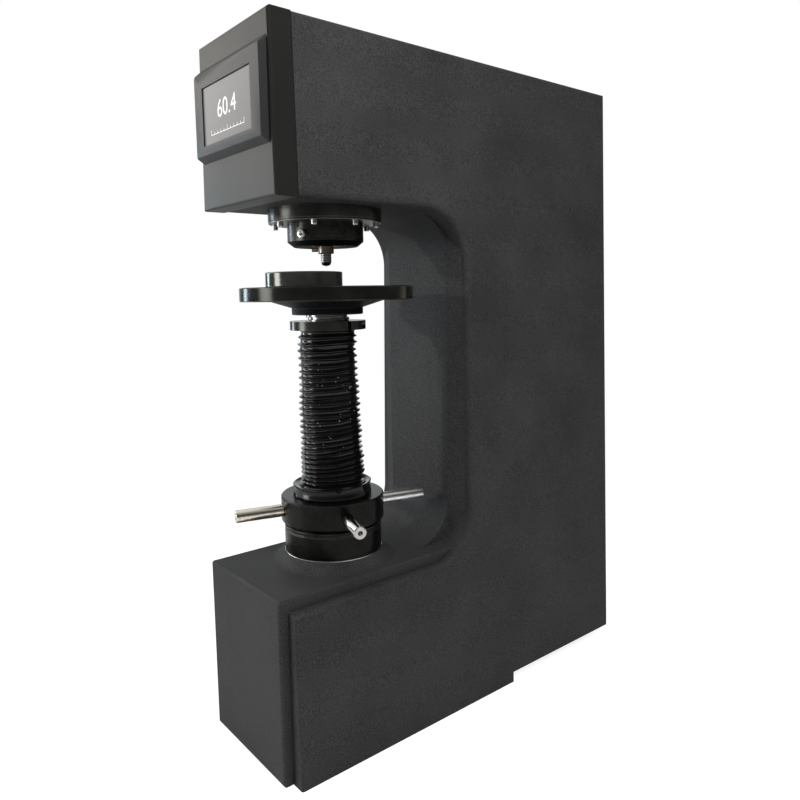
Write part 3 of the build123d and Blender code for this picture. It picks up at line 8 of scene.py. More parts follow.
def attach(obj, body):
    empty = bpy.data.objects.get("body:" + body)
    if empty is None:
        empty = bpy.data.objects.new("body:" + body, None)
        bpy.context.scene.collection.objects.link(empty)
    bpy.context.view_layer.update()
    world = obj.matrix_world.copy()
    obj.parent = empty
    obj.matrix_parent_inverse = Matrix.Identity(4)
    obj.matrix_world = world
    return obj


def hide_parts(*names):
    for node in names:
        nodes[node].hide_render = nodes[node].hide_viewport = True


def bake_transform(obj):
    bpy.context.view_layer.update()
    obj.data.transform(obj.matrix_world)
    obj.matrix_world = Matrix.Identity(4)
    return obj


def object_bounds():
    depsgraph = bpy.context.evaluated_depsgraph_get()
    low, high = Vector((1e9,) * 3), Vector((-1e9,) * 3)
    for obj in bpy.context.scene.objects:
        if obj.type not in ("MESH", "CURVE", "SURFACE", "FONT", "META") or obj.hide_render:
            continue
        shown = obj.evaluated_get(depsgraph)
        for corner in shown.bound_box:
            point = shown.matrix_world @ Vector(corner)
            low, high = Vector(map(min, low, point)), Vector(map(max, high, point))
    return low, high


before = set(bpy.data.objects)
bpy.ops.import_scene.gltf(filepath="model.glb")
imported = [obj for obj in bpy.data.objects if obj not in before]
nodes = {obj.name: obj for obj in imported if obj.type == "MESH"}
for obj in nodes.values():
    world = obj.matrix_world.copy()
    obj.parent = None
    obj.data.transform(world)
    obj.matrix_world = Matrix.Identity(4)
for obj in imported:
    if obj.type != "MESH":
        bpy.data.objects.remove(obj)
cad_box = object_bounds()
scene = bpy.context.scene
scene.view_settings.view_transform = "Standard"

# The camera stands at the operator's right, a little over the table, as the photograph was taken.
# Its place and lens come from a fit to the casting's corners, and the shift from the picture's crop.
picture_width = 800
focal_pixels = 711.9
crop_pixels = -30
camera_place = Vector((0.7089, -0.6234, 0.5216))
camera_turn = radians(50.75)
camera_drop = radians(6.1)
camera_roll = radians(-0.97)
camera_data = bpy.data.cameras.new("camera")
camera_data.sensor_width = 36
camera_data.lens = camera_data.sensor_width * focal_pixels / picture_width
camera_data.shift_y = crop_pixels / picture_width
camera_data.clip_start = 0.01
camera_data.clip_end = 50
camera = bpy.data.objects.new("camera", camera_data)
ahead = Vector((-sin(camera_turn) * cos(camera_drop), cos(camera_turn) * cos(camera_drop), -sin(camera_drop)))
level_right = Vector((cos(camera_turn), sin(camera_turn), 0))
level_up = level_right.cross(ahead)
camera_right = cos(camera_roll) * level_right + sin(camera_roll) * level_up
camera_up = cos(camera_roll) * level_up - sin(camera_roll) * level_right
camera_axes = Matrix((camera_right, camera_up, -ahead)).transposed()
camera.matrix_world = Matrix.Translation(camera_place) @ camera_axes.to_4x4()
scene.collection.objects.link(camera)
scene.camera = camera


class Wire:
    """A socket in a node tree; sums, products and powers of wires add Math nodes."""

    def __init__(self, board, socket):
        self.board = board
        self.socket = socket

    def __add__(self, other):
        return self.board.maths("ADD", self, other)

    def __sub__(self, other):
        return self.board.maths("SUBTRACT", self, other)

    def __rsub__(self, other):
        return self.board.maths("SUBTRACT", other, self)

    def __mul__(self, other):
        return self.board.maths("MULTIPLY", self, other)

    def __truediv__(self, other):
        return self.board.maths("DIVIDE", self, other)

    def __pow__(self, other):
        return self.board.maths("POWER", self, other)

    __radd__ = __add__
    __rmul__ = __mul__


class Board:
    """A node tree that is being wired."""

    def __init__(self, tree):
        self.tree = tree

    def feed(self, socket, value):
        if isinstance(value, Wire):
            self.tree.links.new(value.socket, socket)
        elif socket.type == "RGBA" and len(value) == 3:
            socket.default_value = (*value, 1)
        else:
            socket.default_value = value

    def node(self, kind, settings=None, values=None, output=0):
        made = self.tree.nodes.new(kind)
        for key, value in (settings or {}).items():
            if key != "stops":
                setattr(made, key, value)
                continue
            ramp = made.color_ramp
            while len(ramp.elements) < len(value):
                ramp.elements.new(1)
            for element, (place, tone) in zip(ramp.elements, value):
                element.position = place
                element.color = (tone, tone, tone, 1)
        for key, value in (values or {}).items():
            self.feed(made.inputs[key], value)
        return Wire(self, made.outputs[output])

    def maths(self, operation, first, second=0.0):
        return self.node("ShaderNodeMath", {"operation": operation}, {0: first, 1: second})

    def tint(self, mask, first, second):
        """The first colour where the mask is 0, the second where it is 1."""
        return self.node("ShaderNodeMix", {"data_type": "RGBA"}, {0: mask, 6: first, 7: second}, 2)

    def ramp(self, mask, *stops):
        return self.node("ShaderNodeValToRGB", {"stops": stops}, {"Fac": mask})

    def split(self, vector):
        first = self.node("ShaderNodeSeparateXYZ", values={0: vector})
        return [Wire(self, socket) for socket in first.socket.node.outputs]

    def joined(self, x, y, z):
        return self.node("ShaderNodeCombineXYZ", values={0: x, 1: y, 2: z})

    def noise(self, vector, scale, detail=2.0, rough=0.5):
        return self.node("ShaderNodeTexNoise", values={
            "Vector": vector, "Scale": scale, "Detail": detail, "Roughness": rough,
        })

    def given(self, label):
        """An input of the node group."""
        return self.node("NodeGroupInput", output=label)


# The studio: a white surround that bare metal mirrors too, and a pale floor that keeps a soft shadow.
# A small lamp at the front left throws the table's shadow on the column; the strips are only mirrored.
fill_strength = 0.25
world = bpy.data.worlds.new("studio")
scene.world = world
world.use_nodes = True
sky = Board(world.node_tree)
sky_right, sky_back, sky_up = sky.split(sky.node("ShaderNodeTexCoord", output="Generated"))
towards_camera = sky_right * 0.77 - sky_back * 0.63 - sky_up * 0.1
room = sky.ramp(towards_camera * 0.5 + 0.5, (0.0, 1.0), (0.5, 0.75), (0.78, 0.2), (1.0, 0.08))
fill_light = sky.node("ShaderNodeBackground", values={"Color": (1.0, 0.985, 0.96), "Strength": fill_strength})
dark_band = sky.ramp(
    sky_up * 0.5 + 0.5,
    (0.0, 0.5), (0.38, 0.8), (0.5, 1.0), (0.64, 1.0), (0.69, 0.12), (0.76, 0.12), (0.8, 1.0),
)
behind_right = sky.ramp(sky_right * 0.385 + sky_back * 0.315 + 0.5, (0.8, 1.0), (0.92, 0.1))
front_left = sky.ramp(0.5 - sky_right * 0.45 - sky_back * 0.215, (0.86, 1.0), (0.95, 0.15))
right_side = sky.ramp(sky_right * 0.315 + sky_back * 0.385 + 0.5, (0.5, 0.0), (0.9, 1.0))
room_tint = sky.tint(right_side, (0.94, 0.97, 1.0), (1.0, 0.92, 0.76))
mirrored_strength = room * dark_band * behind_right * front_left
mirrored_light = sky.node("ShaderNodeBackground", values={"Color": room_tint, "Strength": mirrored_strength})
white_light = sky.node("ShaderNodeBackground", values={"Color": (1, 1, 1), "Strength": 1.0})
seen_by_camera = sky.node("ShaderNodeLightPath", output="Is Camera Ray")
seen_by_glass = sky.node("ShaderNodeLightPath", output="Is Transmission Ray")
seen_by_gloss = sky.node("ShaderNodeLightPath", output="Is Glossy Ray")
soft_light = sky.node("ShaderNodeMixShader", values={0: seen_by_gloss, 1: fill_light, 2: mirrored_light})
plain_white = sky.maths("MAXIMUM", seen_by_camera, seen_by_glass)
all_light = sky.node("ShaderNodeMixShader", values={0: plain_white, 1: soft_light, 2: white_light})
sky.tree.links.new(all_light.socket, world.node_tree.nodes["World Output"].inputs["Surface"])

floor_half = 8.0
floor_mesh = bpy.data.meshes.new("floor")
floor_corners = [(-floor_half, -floor_half, 0), (floor_half, -floor_half, 0), (floor_half, floor_half, 0)]
floor_mesh.from_pydata(floor_corners + [(-floor_half, floor_half, 0)], [], [(0, 1, 2, 3)])
studio_floor = bpy.data.objects.new("floor", floor_mesh)
scene.collection.objects.link(studio_floor)
floor_paper = bpy.data.materials.new("floor_paper")
floor_paper.use_nodes = True
paper = Board(floor_paper.node_tree)
paper_x, paper_y = paper.split(paper.node("ShaderNodeTexCoord", output="Object"))[:2]
from_middle = (paper_x * paper_x + paper_y * paper_y) ** 0.5
near = paper.ramp(from_middle * 0.5, (0.18, 1.0), (0.62, 0.0))
paper_matt = paper.node("ShaderNodeBsdfDiffuse", values={"Color": (0.8, 0.8, 0.8)})
paper_white = paper.node("ShaderNodeEmission", values={"Color": (1, 1, 1), "Strength": 1.0})
paper_glow = paper.node("ShaderNodeEmission", values={"Color": (1, 1, 1), "Strength": 0.87})
paper_shade = paper.node("ShaderNodeBsdfDiffuse", values={"Color": (0.34, 0.34, 0.34)})
paper_lit = paper.node("ShaderNodeAddShader", values={0: paper_glow, 1: paper_shade})
paper_shown = paper.node("ShaderNodeMixShader", values={0: near, 1: paper_white, 2: paper_lit})
paper_seen = paper.node("ShaderNodeLightPath", output="Is Camera Ray")
paper_both = paper.node("ShaderNodeMixShader", values={0: paper_seen, 1: paper_matt, 2: paper_shown})
paper.tree.links.new(paper_both.socket, floor_paper.node_tree.nodes["Material Output"].inputs["Surface"])
floor_mesh.materials.append(floor_paper)


def soft_lamp(name, place, aim, width, height, power, colour, mirrored=False):
    """A rectangular lamp that faces its aim, and either lights matt surfaces or is only mirrored."""
    lamp_data = bpy.data.lights.new(name, "AREA")
    lamp_data.shape = "RECTANGLE"
    lamp_data.size = width
    lamp_data.size_y = height
    lamp_data.energy = power
    lamp_data.color = colour
    lamp = bpy.data.objects.new(name, lamp_data)
    lamp.location = place
    lamp.rotation_euler = (Vector(aim) - Vector(place)).to_track_quat("-Z", "Y").to_euler()
    lamp.visible_glossy = mirrored
    lamp.visible_diffuse = not mirrored
    scene.collection.objects.link(lamp)


soft_lamp("front_strip", (-1.32, -2.75, 0.5), (0, -0.15, 0.5), 0.95, 0.9, 17, (1.0, 1.0, 0.99), True)
soft_lamp("left_strip", (-2.85, -1.1, 0.5), (0, -0.15, 0.5), 0.36, 0.9, 11, (0.7, 0.87, 1.0), True)
soft_lamp("window_glow", (-2.9, -1.7, 1.82), (0, -0.2, 0.65), 1.6, 1.7, 25, (1.0, 0.965, 0.91), True)
soft_lamp("key_lamp", (-2.15, -3.45, 1.42), (0, -0.15, 0.5), 0.17, 0.17, 94, (1.0, 0.99, 0.98))
soft_lamp("back_lamp", (-0.6, 3.4, 1.5), (0, 0.2, 0.4), 1.4, 1.4, 32, (1.0, 1.0, 1.0))
soft_lamp("ceiling_lamp", (0.2, -0.6, 2.9), (0, -0.05, 0.4), 1.6, 1.6, 15, (1.0, 1.0, 0.99))
soft_lamp("head_lamp", (0.85, -0.3, 1.2), (0.1, -0.15, 0.72), 0.6, 0.6, 13, (0.98, 0.99, 1.0))


class Finish(Board):
    """A material: a Principled shader whose fixed numbers sit on its own sockets."""

    def __init__(self, name, **fixed):
        self.material = bpy.data.materials.new(name)
        self.material.use_nodes = True
        super().__init__(self.material.node_tree)
        self.shader = self.tree.nodes["Principled BSDF"]
        self.place = self.node("ShaderNodeTexCoord", output="Object")
        self.give(**fixed)

    def give(self, **values):
        for key, value in values.items():
            self.feed(self.shader.inputs[key.replace("_", " ")], value)

    def shifted(self, centre):
        """Object coordinates counted from a centre."""
        moved = {"Vector": self.place, "Location": centre}
        return self.node("ShaderNodeMapping", {"vector_type": "TEXTURE"}, moved)

    def cells(self, scale):
        """The distance to the nearest of many scattered points."""
        scattered = {"Vector": self.place, "Scale": scale}
        return self.node("ShaderNodeTexVoronoi", values=scattered, output="Distance")

    def above(self, value, threshold):
        """1 where the first is the greater, 0 elsewhere."""
        return self.maths("GREATER_THAN", value, threshold)

    def bump(self, height, depth, strength=1.0):
        """Feeds Normal with a bump of the given depth in metres."""
        raised = {"Height": height, "Distance": depth, "Strength": strength}
        self.give(Normal=self.node("ShaderNodeBump", values=raised))

    def onto(self, *targets):
        """Puts the finish on pieces or carried-over nodes as their only material."""
        for target in targets:
            target.data.materials.clear()
            target.data.materials.append(self.material)


# The casting: one C of grey iron, cast hollow, machined where pieces seat, then powder-coated charcoal.
# The coat is fine and matt, with a salt-and-pepper grain a millimetre or two across.
def powder_coat(name, dark, light):
    """A sprayed powder coat: grain in tone, gloss and surface, over a slow unevenness."""
    finish = Finish(name, Specular_IOR_Level=0.21)
    fine = finish.noise(finish.place, 2600, 2.0, 0.6)
    grain = finish.noise(finish.place, 850, 2.5, 0.7)
    slow = finish.noise(finish.place, 9.0, 3.0, 0.6)
    tone = finish.ramp(fine * 0.2 + grain * 0.65 + slow * 0.15, (0.42, 0.0), (0.58, 1.0))
    flecks = finish.ramp(finish.cells(800), (0.0, 1.0), (0.17, 0.0))
    body = finish.tint(tone, dark, light)
    flecked = finish.tint(flecks * 0.2, body, tuple(3.2 * value for value in light))
    finish.give(Base_Color=flecked, Roughness=0.5 + grain * 0.14 + slow * 0.08)
    finish.bump(fine * 0.4 + grain * 0.6, 0.0003, 0.6)
    return finish


powder_coat("charcoal_powder_coat", (0.011, 0.011, 0.0113), (0.048, 0.048, 0.049)).onto(nodes["casting"])


# The head cover: a pressed steel box that closes the front of the head, sprayed in a smooth satin charcoal.
# Its front catches the window's sheen, and two cheese-headed screws hold it from above.
def satin_paint(name, dark, light, gloss, peel=420):
    """A smooth sprayed paint with a faint orange peel and a slow change of gloss."""
    finish = Finish(name, Specular_IOR_Level=0.42)
    slow = finish.noise(finish.place, 14.0, 3.0, 0.55)
    grain = finish.noise(finish.place, 1400, 2.0, 0.6)
    finish.give(
        Base_Color=finish.tint(slow * 0.5 + grain * 0.5, dark, light),
        Roughness=gloss + slow * 0.1 + grain * 0.05,
    )
    finish.bump(finish.noise(finish.place, peel, 2.0) * 0.7 + grain * 0.3, 0.00005, 0.4)
    return finish


def plain_mesh(piece):
    """Turns a piece with modifiers into one plain mesh and takes the modifiers off."""
    bpy.context.view_layer.update()
    evaluated = piece.evaluated_get(bpy.context.evaluated_depsgraph_get())
    solid = bpy.data.meshes.new_from_object(evaluated)
    piece.modifiers.clear()
    piece.data = solid


def new_piece(name, mesh):
    """An object at the origin that carries a mesh."""
    piece = bpy.data.objects.new(name, mesh)
    scene.collection.objects.link(piece)
    return piece


def softened(node, body, finish, width, steps=2, rubbed=None):
    """A merged copy of a CAD node with its sharp edges broken; it stands for the node."""
    mesh = nodes[node].data.copy()
    if "custom_normal" in mesh.attributes:
        mesh.attributes.remove(mesh.attributes["custom_normal"])
    shell = bmesh.new()
    shell.from_mesh(mesh)
    bmesh.ops.remove_doubles(shell, verts=shell.verts, dist=2e-6)
    bmesh.ops.dissolve_limit(shell, angle_limit=radians(0.4), verts=shell.verts, edges=shell.edges)
    shell.to_mesh(mesh)
    shell.free()
    mesh.materials.clear()
    mesh.materials.append(finish.material)
    if rubbed:
        mesh.materials.append(rubbed.material)
    mesh.shade_smooth()
    mesh.set_sharp_from_angle(angle=radians(32))
    piece = new_piece(node + "_finished", mesh)
    bevel = piece.modifiers.new("broken_edges", "BEVEL")
    bevel.width = width
    bevel.segments = steps
    bevel.limit_method = "ANGLE"
    bevel.angle_limit = radians(38)
    bevel.harden_normals = True
    bevel.material = 1 if rubbed else 0
    plain_mesh(piece)
    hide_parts(node)
    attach(piece, body)


cover_paint = satin_paint("satin_charcoal", (0.0085, 0.0085, 0.0078), (0.014, 0.014, 0.0128), 0.34)
cover_paint.onto(nodes["head_cover"])

# The display: a moulded frame round a five-inch panel, with posts behind it for four screws.
# The frame is satin grey, with its edges broken and its top and bottom sloped.
bezel_paint = satin_paint("satin_bezel", (0.018, 0.018, 0.0185), (0.027, 0.027, 0.028), 0.33, 900)
softened("display_bezel", "frame", bezel_paint, 0.0006)

# The panel: dark glass whose lit part shows a light grey ground; the glow is made brighter towards its upper
# left, a painted sheen on the glass.
# It shows a plain reading and a short scale in white.
screen_centre = 0.7186
screen_half_width = 0.0555
screen_half_height = 0.03115
unlit_edge = 0.0005
panel = Finish("lit_panel", Specular_IOR_Level=0.2, Roughness=0.22, Emission_Strength=1.0)
panel_x, _, panel_z = panel.split(panel.place)
across = panel_x / (2 * screen_half_width) + 0.5
upward = (panel_z - screen_centre) / (2 * screen_half_height) + 0.5
inside = panel.above(screen_half_width - panel.maths("ABSOLUTE", panel_x), unlit_edge) * panel.above(
    screen_half_height - panel.maths("ABSOLUTE", panel_z - screen_centre), unlit_edge
)
# The glow's ramp rises towards the upper left: a painted sheen laid over the screen's own even ground.
glow_with_painted_sheen = panel.ramp(upward * 0.55 - across * 0.45 + 0.45, (0.0, 0.12), (0.55, 0.16), (1.0, 0.19))
panel_grain = panel.noise(panel.place, 3000, 1.0)
panel.give(Base_Color=panel.tint(inside, (0.012, 0.012, 0.013), (0.03, 0.03, 0.031)))
panel.give(Emission_Color=panel.tint(inside * (0.96 + panel_grain * 0.08), (0, 0, 0), glow_with_painted_sheen))
panel.onto(nodes["display_glass"])

panel_ink = Finish("lit_white", Roughness=0.3, Emission_Strength=1.0)
ink_glow = panel_ink.noise(panel_ink.place, 500, 1.0)
ink_tone = panel_ink.tint(ink_glow, (0.78, 0.78, 0.79), (0.9, 0.9, 0.91))
panel_ink.give(Base_Color=(0.1, 0.1, 0.1), Emission_Color=ink_tone)


def merged(name, pieces):
    """Joins several meshes into one."""
    whole = bmesh.new()
    for mesh in pieces:
        whole.from_mesh(mesh)
    mesh = bpy.data.meshes.new(name)
    whole.to_mesh(mesh)
    whole.free()
    return mesh


def upright_text(words, size, x, z, y):
    """Flat figures that face the operator, as a mesh."""
    lettering = bpy.data.curves.new(words, "FONT")
    lettering.body = words
    lettering.size = size
    lettering.align_x = "CENTER"
    lettering.extrude = 0.00002
    flat = bpy.data.objects.new(words, lettering)
    scene.collection.objects.link(flat)
    bpy.context.view_layer.update()
    mesh = bpy.data.meshes.new_from_object(flat.evaluated_get(bpy.context.evaluated_depsgraph_get()))
    bpy.data.objects.remove(flat)
    mesh.transform(Matrix.Translation((x, y, z)) @ Matrix.Rotation(pi / 2, 4, "X"))
    return mesh


def plate_mesh(low, high):
    """A closed box between two corners."""
    block = bmesh.new()
    bmesh.ops.create_cube(block, size=1)
    size = Vector(high) - Vector(low)
    middle = (Vector(high) + Vector(low)) / 2
    stretched = Matrix.Translation(middle) @ Matrix.Diagonal((*size, 1))
    bmesh.ops.transform(block, matrix=stretched, verts=block.verts)
    mesh = bpy.data.meshes.new("plate")
    block.to_mesh(mesh)
    block.free()
    return mesh


glass_front = -0.2729
ink_y = glass_front - 0.00003
ink_half_depth = 0.00002
figure_height = 0.026
figure_foot = screen_centre - 0.006
scale_foot = screen_centre - 0.0215
scale_half_width = 0.0384
scale_line = 0.0007
tick_gap = 0.0076


def ink_bar(middle, half_width, foot, top):
    """A thin printed bar on the glass."""
    low = (middle - half_width, ink_y - ink_half_depth, foot)
    return plate_mesh(low, (middle + half_width, ink_y + ink_half_depth, top))


ink_meshes = [upright_text("60.4", figure_height, 0.0, figure_foot, ink_y)]
for tick in range(-5, 6):
    tick_height = 0.0048 if tick % 5 == 0 else 0.0026
    ink_meshes.append(ink_bar(tick * tick_gap, scale_line / 2, scale_foot, scale_foot + tick_height))
ink_meshes.append(ink_bar(0.0, scale_half_width, scale_foot - scale_line, scale_foot))
panel_figures = new_piece("panel_figures", merged("panel_figures", ink_meshes))
panel_ink.onto(panel_figures)
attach(panel_figures, "frame")


# Screws and small metal fittings: bright or blackened steel, milled aluminium, bronze and black enamel.
# The pieces inside the head and the base are finished in the same way, though covers hide them.
def plain_metal(name, dark, light, roughness, metallic=1.0):
    """A finish with no direction: a slow change of tone and a fine grain."""
    finish = Finish(name, Metallic=metallic)
    slow = finish.noise(finish.place, 90, 4.0, 0.6)
    fine = finish.noise(finish.place, 900, 2.0)
    finish.give(
        Base_Color=finish.tint(slow * 0.7 + fine * 0.3, dark, light),
        Roughness=roughness + fine * 0.08 + slow * 0.1,
    )
    finish.bump(fine, 0.00003, 0.35)
    return finish


screw_steel = plain_metal("bright_screw_steel", (0.56, 0.56, 0.55), (0.78, 0.78, 0.76), 0.14)
dark_screw_steel = plain_metal("blackened_screw_steel", (0.02, 0.02, 0.02), (0.05, 0.05, 0.048), 0.28, 0.6)
aluminium = plain_metal("milled_aluminium", (0.5, 0.5, 0.51), (0.66, 0.66, 0.67), 0.3)
aluminium.onto(*(nodes[name] for name in (
    "motor_bracket", "bridge_plate", "crosshead", "driven_pulley", "motor_pulley", "power_supply",
)))
hard_steel = plain_metal("ground_bearing_steel", (0.5, 0.5, 0.5), (0.64, 0.64, 0.63), 0.18)
hard_steel.onto(*(nodes[name] for name in (
    "guide_posts", "ball_screw", "ball_nut", "ball_screw_bearing", "load_cell", "guide_key",
    "thrust_bearing", "thrust_race_upper", "post_nuts", "bezel_screws", "base_ring_screws", "nut_screws",
)))
bronze = plain_metal("turned_bronze", (0.5, 0.32, 0.14), (0.68, 0.46, 0.22), 0.28)
bronze.onto(*(nodes[name] for name in ("spindle_bush", "screw_guide_bush", "lifting_nut", "board_standoffs")))
enamel = plain_metal("black_enamel", (0.012, 0.012, 0.012), (0.024, 0.024, 0.024), 0.3, 0.0)
enamel.onto(nodes["load_motor"], nodes["depth_reader"])
board_mask = plain_metal("board_mask", (0.012, 0.07, 0.03), (0.02, 0.11, 0.05), 0.36, 0.0)
board_mask.onto(nodes["main_board"], nodes["display_board"])
belt_rubber = plain_metal("belt_rubber", (0.014, 0.014, 0.014), (0.026, 0.026, 0.026), 0.6, 0.0)
belt_rubber.onto(nodes["timing_belt"])
etched_glass = plain_metal("etched_glass", (0.5, 0.58, 0.58), (0.7, 0.76, 0.76), 0.08, 0.0)
etched_glass.onto(nodes["glass_scale"])


# The load unit: a flange, a retaining plate and a nose, turned, blackened and bolted under the head.
# The cuts go round the test axis, and handling has rubbed the edges bright.
axis_y = -0.1535
test_axis = (0, axis_y, 0)


def turned_steel(name, dark, light, roughness, metallic, rings=5200, depth=0.00003, foot=None):
    """Lathe-turned steel: fine rings round the test axis, a slow change, and a painted shade of bluish black
    below a foot.
    """
    finish = Finish(name, Metallic=metallic, Anisotropic=0.4, Anisotropic_Rotation=0.25)
    x, y, z = finish.split(finish.shifted(test_axis))
    radius = (x * x + y * y) ** 0.5
    cuts = finish.noise(finish.joined(radius, z, 0.0), rings, 2.0, 0.6)
    slow = finish.noise(finish.place, 45, 4.0, 0.65)
    tone = finish.ramp(slow * 0.65 + cuts * 0.35, (0.32, 0.0), (0.68, 1.0))
    colour = finish.tint(tone, dark, light)
    # Below the foot the steel is painted bluish black and made rougher: a painted shade on the underside.
    if foot:
        painted_underside_shade = finish.above(foot, z)
        colour = finish.tint(painted_underside_shade, colour, (0.006, 0.007, 0.009))
        roughness = roughness + painted_underside_shade * 0.4
    finish.give(Base_Color=colour, Roughness=roughness + cuts * 0.1 + slow * 0.12)
    finish.bump(cuts, depth, 0.4)
    return finish


black_steel = turned_steel("blackened_steel", (0.036, 0.036, 0.033), (0.1, 0.1, 0.09), 0.12, 0.85)
rubbed_steel = turned_steel("rubbed_edges", (0.10, 0.10, 0.095), (0.3, 0.3, 0.28), 0.22, 0.95)
bright_steel = turned_steel("ground_steel", (0.5, 0.5, 0.49), (0.68, 0.68, 0.66), 0.14, 1.0)
softened("load_flange", "frame", black_steel, 0.0005, 2, rubbed_steel)
plate_steel = turned_steel("plate_steel", (0.03, 0.03, 0.029), (0.07, 0.07, 0.066), 0.2, 0.9)
softened("retaining_plate", "frame", plate_steel, 0.0003, 1, bright_steel)
# The nose is painted in shade below its bevel's top, over its bevel and underside.
nose_bevel_top = 0.5831
nose_steel = turned_steel(
    "nose_steel", (0.027, 0.027, 0.0255), (0.072, 0.072, 0.066), 0.16, 0.9, foot=nose_bevel_top
)
softened("nose_housing", "frame", nose_steel, 0.0004, 2, rubbed_steel)


# The cap screws: forged, knurled round the head, with a hexagon socket, and bright as the plate they hold.
# Each stands at its own turn.
def ring_stack(name, rings, sides):
    """A closed body of rings, foot first; a ring is a radius, or one for each angle, and a height."""
    body = bmesh.new()
    rows = []
    for radius, height in rings:
        row = []
        for side in range(sides):
            angle = 2 * pi * side / sides
            reach = radius(angle) if callable(radius) else radius
            row.append(body.verts.new((reach * cos(angle), reach * sin(angle), height)))
        rows.append(row)
    for lower, upper in zip(rows, rows[1:]):
        for side in range(sides):
            after = (side + 1) % sides
            body.faces.new((lower[side], lower[after], upper[after], upper[side]))
    body.faces.new(tuple(reversed(rows[0])))
    body.faces.new(rows[-1])
    mesh = bpy.data.meshes.new(name)
    body.to_mesh(mesh)
    body.free()
    mesh.shade_smooth()
    mesh.set_sharp_from_angle(angle=radians(30))
    return mesh


def cap_screw(head, height, thread, length, knurled=True, socket=0.5):
    """A socket-head screw that stands on z = 0 with its thread below."""

    def knurl(angle):
        return head * (1 - 0.018 * (round(angle * 36 / pi) % 2)) if knurled else head

    def hexagon(angle):
        sixth = pi / 3
        return head * socket / cos((angle + sixth / 2) % sixth - sixth / 2)

    rings = [
        (thread * 0.7, -length),
        (thread, 0.4 * thread - length),
        (thread, 0),
        (head - 0.00015, 0),
        (knurl, 0.00015),
        (knurl, 0.78 * height),
        (head * 0.97, 0.8 * height),
        (head * 0.97, height - 0.0004),
        (head * 0.93, height - 0.0001),
        (head * 0.88, height),
        (lambda angle: hexagon(angle) * 1.06, height),
        (hexagon, height - 0.0003),
        (hexagon, height * 0.4),
        (head * 0.1, height * 0.32),
    ]
    return ring_stack("cap_screw", rings, 72)


seating = bpy.data.node_groups.new("fixings_on_places", "GeometryNodeTree")
for label, kind in (
    ("Places", "NodeSocketGeometry"), ("Fixing", "NodeSocketObject"), ("Finish", "NodeSocketMaterial"),
    ("Turn", "NodeSocketFloat"), ("Seed", "NodeSocketInt"),
):
    seating.interface.new_socket(label, in_out="INPUT", socket_type=kind)
seating.interface.new_socket("Fixings", in_out="OUTPUT", socket_type="NodeSocketGeometry")
seat = Board(seating)
facing = seat.node("GeometryNodeInputNamedAttribute", {"data_type": "FLOAT_VECTOR"}, {"Name": "facing"})
aimed = seat.node("FunctionNodeAlignRotationToVector", {"axis": "Z"}, {"Vector": facing})
spin = seat.node("FunctionNodeRandomValue", {"data_type": "FLOAT"}, {
    2: 0.0, 3: seat.given("Turn"), "Seed": seat.given("Seed"),
}, 1)
spun = seat.node("FunctionNodeAxisAngleToRotation", values={"Axis": (0, 0, 1), "Angle": spin})
both_turns = {"Rotation": aimed, "Rotate By": spun}
aimed = seat.node("FunctionNodeRotateRotation", {"rotation_space": "LOCAL"}, both_turns)
fixing_shape = seat.node("GeometryNodeObjectInfo", values={"Object": seat.given("Fixing")}, output="Geometry")
set_down = seat.node("GeometryNodeInstanceOnPoints", values={
    "Points": seat.given("Places"), "Instance": fixing_shape, "Rotation": aimed,
})
set_down = seat.node("GeometryNodeRealizeInstances", values={0: set_down})
set_down = seat.node("GeometryNodeSetMaterial", values={
    "Geometry": set_down, "Material": seat.given("Finish"),
})
seating.links.new(set_down.socket, seating.nodes.new("NodeGroupOutput").inputs[0])


def add_tree(piece, tree, **inputs):
    """Puts a Geometry Nodes tree on a piece and sets its named inputs by their identifiers."""
    modifier = piece.modifiers.new(tree.name, "NODES")
    modifier.node_group = tree
    for item in tree.interface.items_tree:
        if item.item_type == "SOCKET" and item.in_out == "INPUT" and item.name in inputs:
            modifier[item.identifier] = inputs[item.name]


def fixings(name, shape, places, body, finish, turn=2 * pi, seed=1):
    """One piece of like fixings; a place is a point and the direction that the fixing faces."""
    carrier = bpy.data.meshes.new(name)
    carrier.from_pydata([point for point, way in places], [], [])
    ways = carrier.attributes.new("facing", "FLOAT_VECTOR", "POINT")
    for datum, (point, way) in zip(ways.data, places):
        datum.vector = way
    model = new_piece(name + "_model", shape)
    piece = new_piece(name + "_finished", carrier)
    add_tree(piece, seating, Fixing=model, Finish=finish.material, Turn=turn, Seed=seed)
    plain_mesh(piece)
    bpy.data.objects.remove(model)
    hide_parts(name)
    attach(piece, body)


def round_the_axis(radius, count, first, height):
    """Points on a circle round the test axis; angles run from the front towards the operator's right."""
    turns = [first + 2 * pi * step / count for step in range(count)]
    return [Vector((radius * sin(turn), axis_y - radius * cos(turn), height)) for turn in turns]


def on_the_wall(radius, turn, height):
    """A point on a round wall and the way it faces there; the turn runs as in round_the_axis."""
    way = Vector((sin(turn), -cos(turn), 0))
    return Vector((0, axis_y, height)) + radius * way, way


flange_circle = 0.060
plate_foot = 0.604
flange_places = [(point, Vector((0, 0, -1))) for point in round_the_axis(flange_circle, 8, 0, plate_foot)]
flange_screw = cap_screw(0.0034, 0.0055, 0.0022, 0.026)
fixings("flange_screws", flange_screw, flange_places, "frame", screw_steel)
nose_radius = 0.0443
set_place = on_the_wall(nose_radius, radians(22.5), 0.5905)
set_screw = cap_screw(0.005, 0.005, 0.003, 0.016, knurled=False)
fixings("nose_set_screw", set_screw, [set_place], "frame", screw_steel, seed=4)


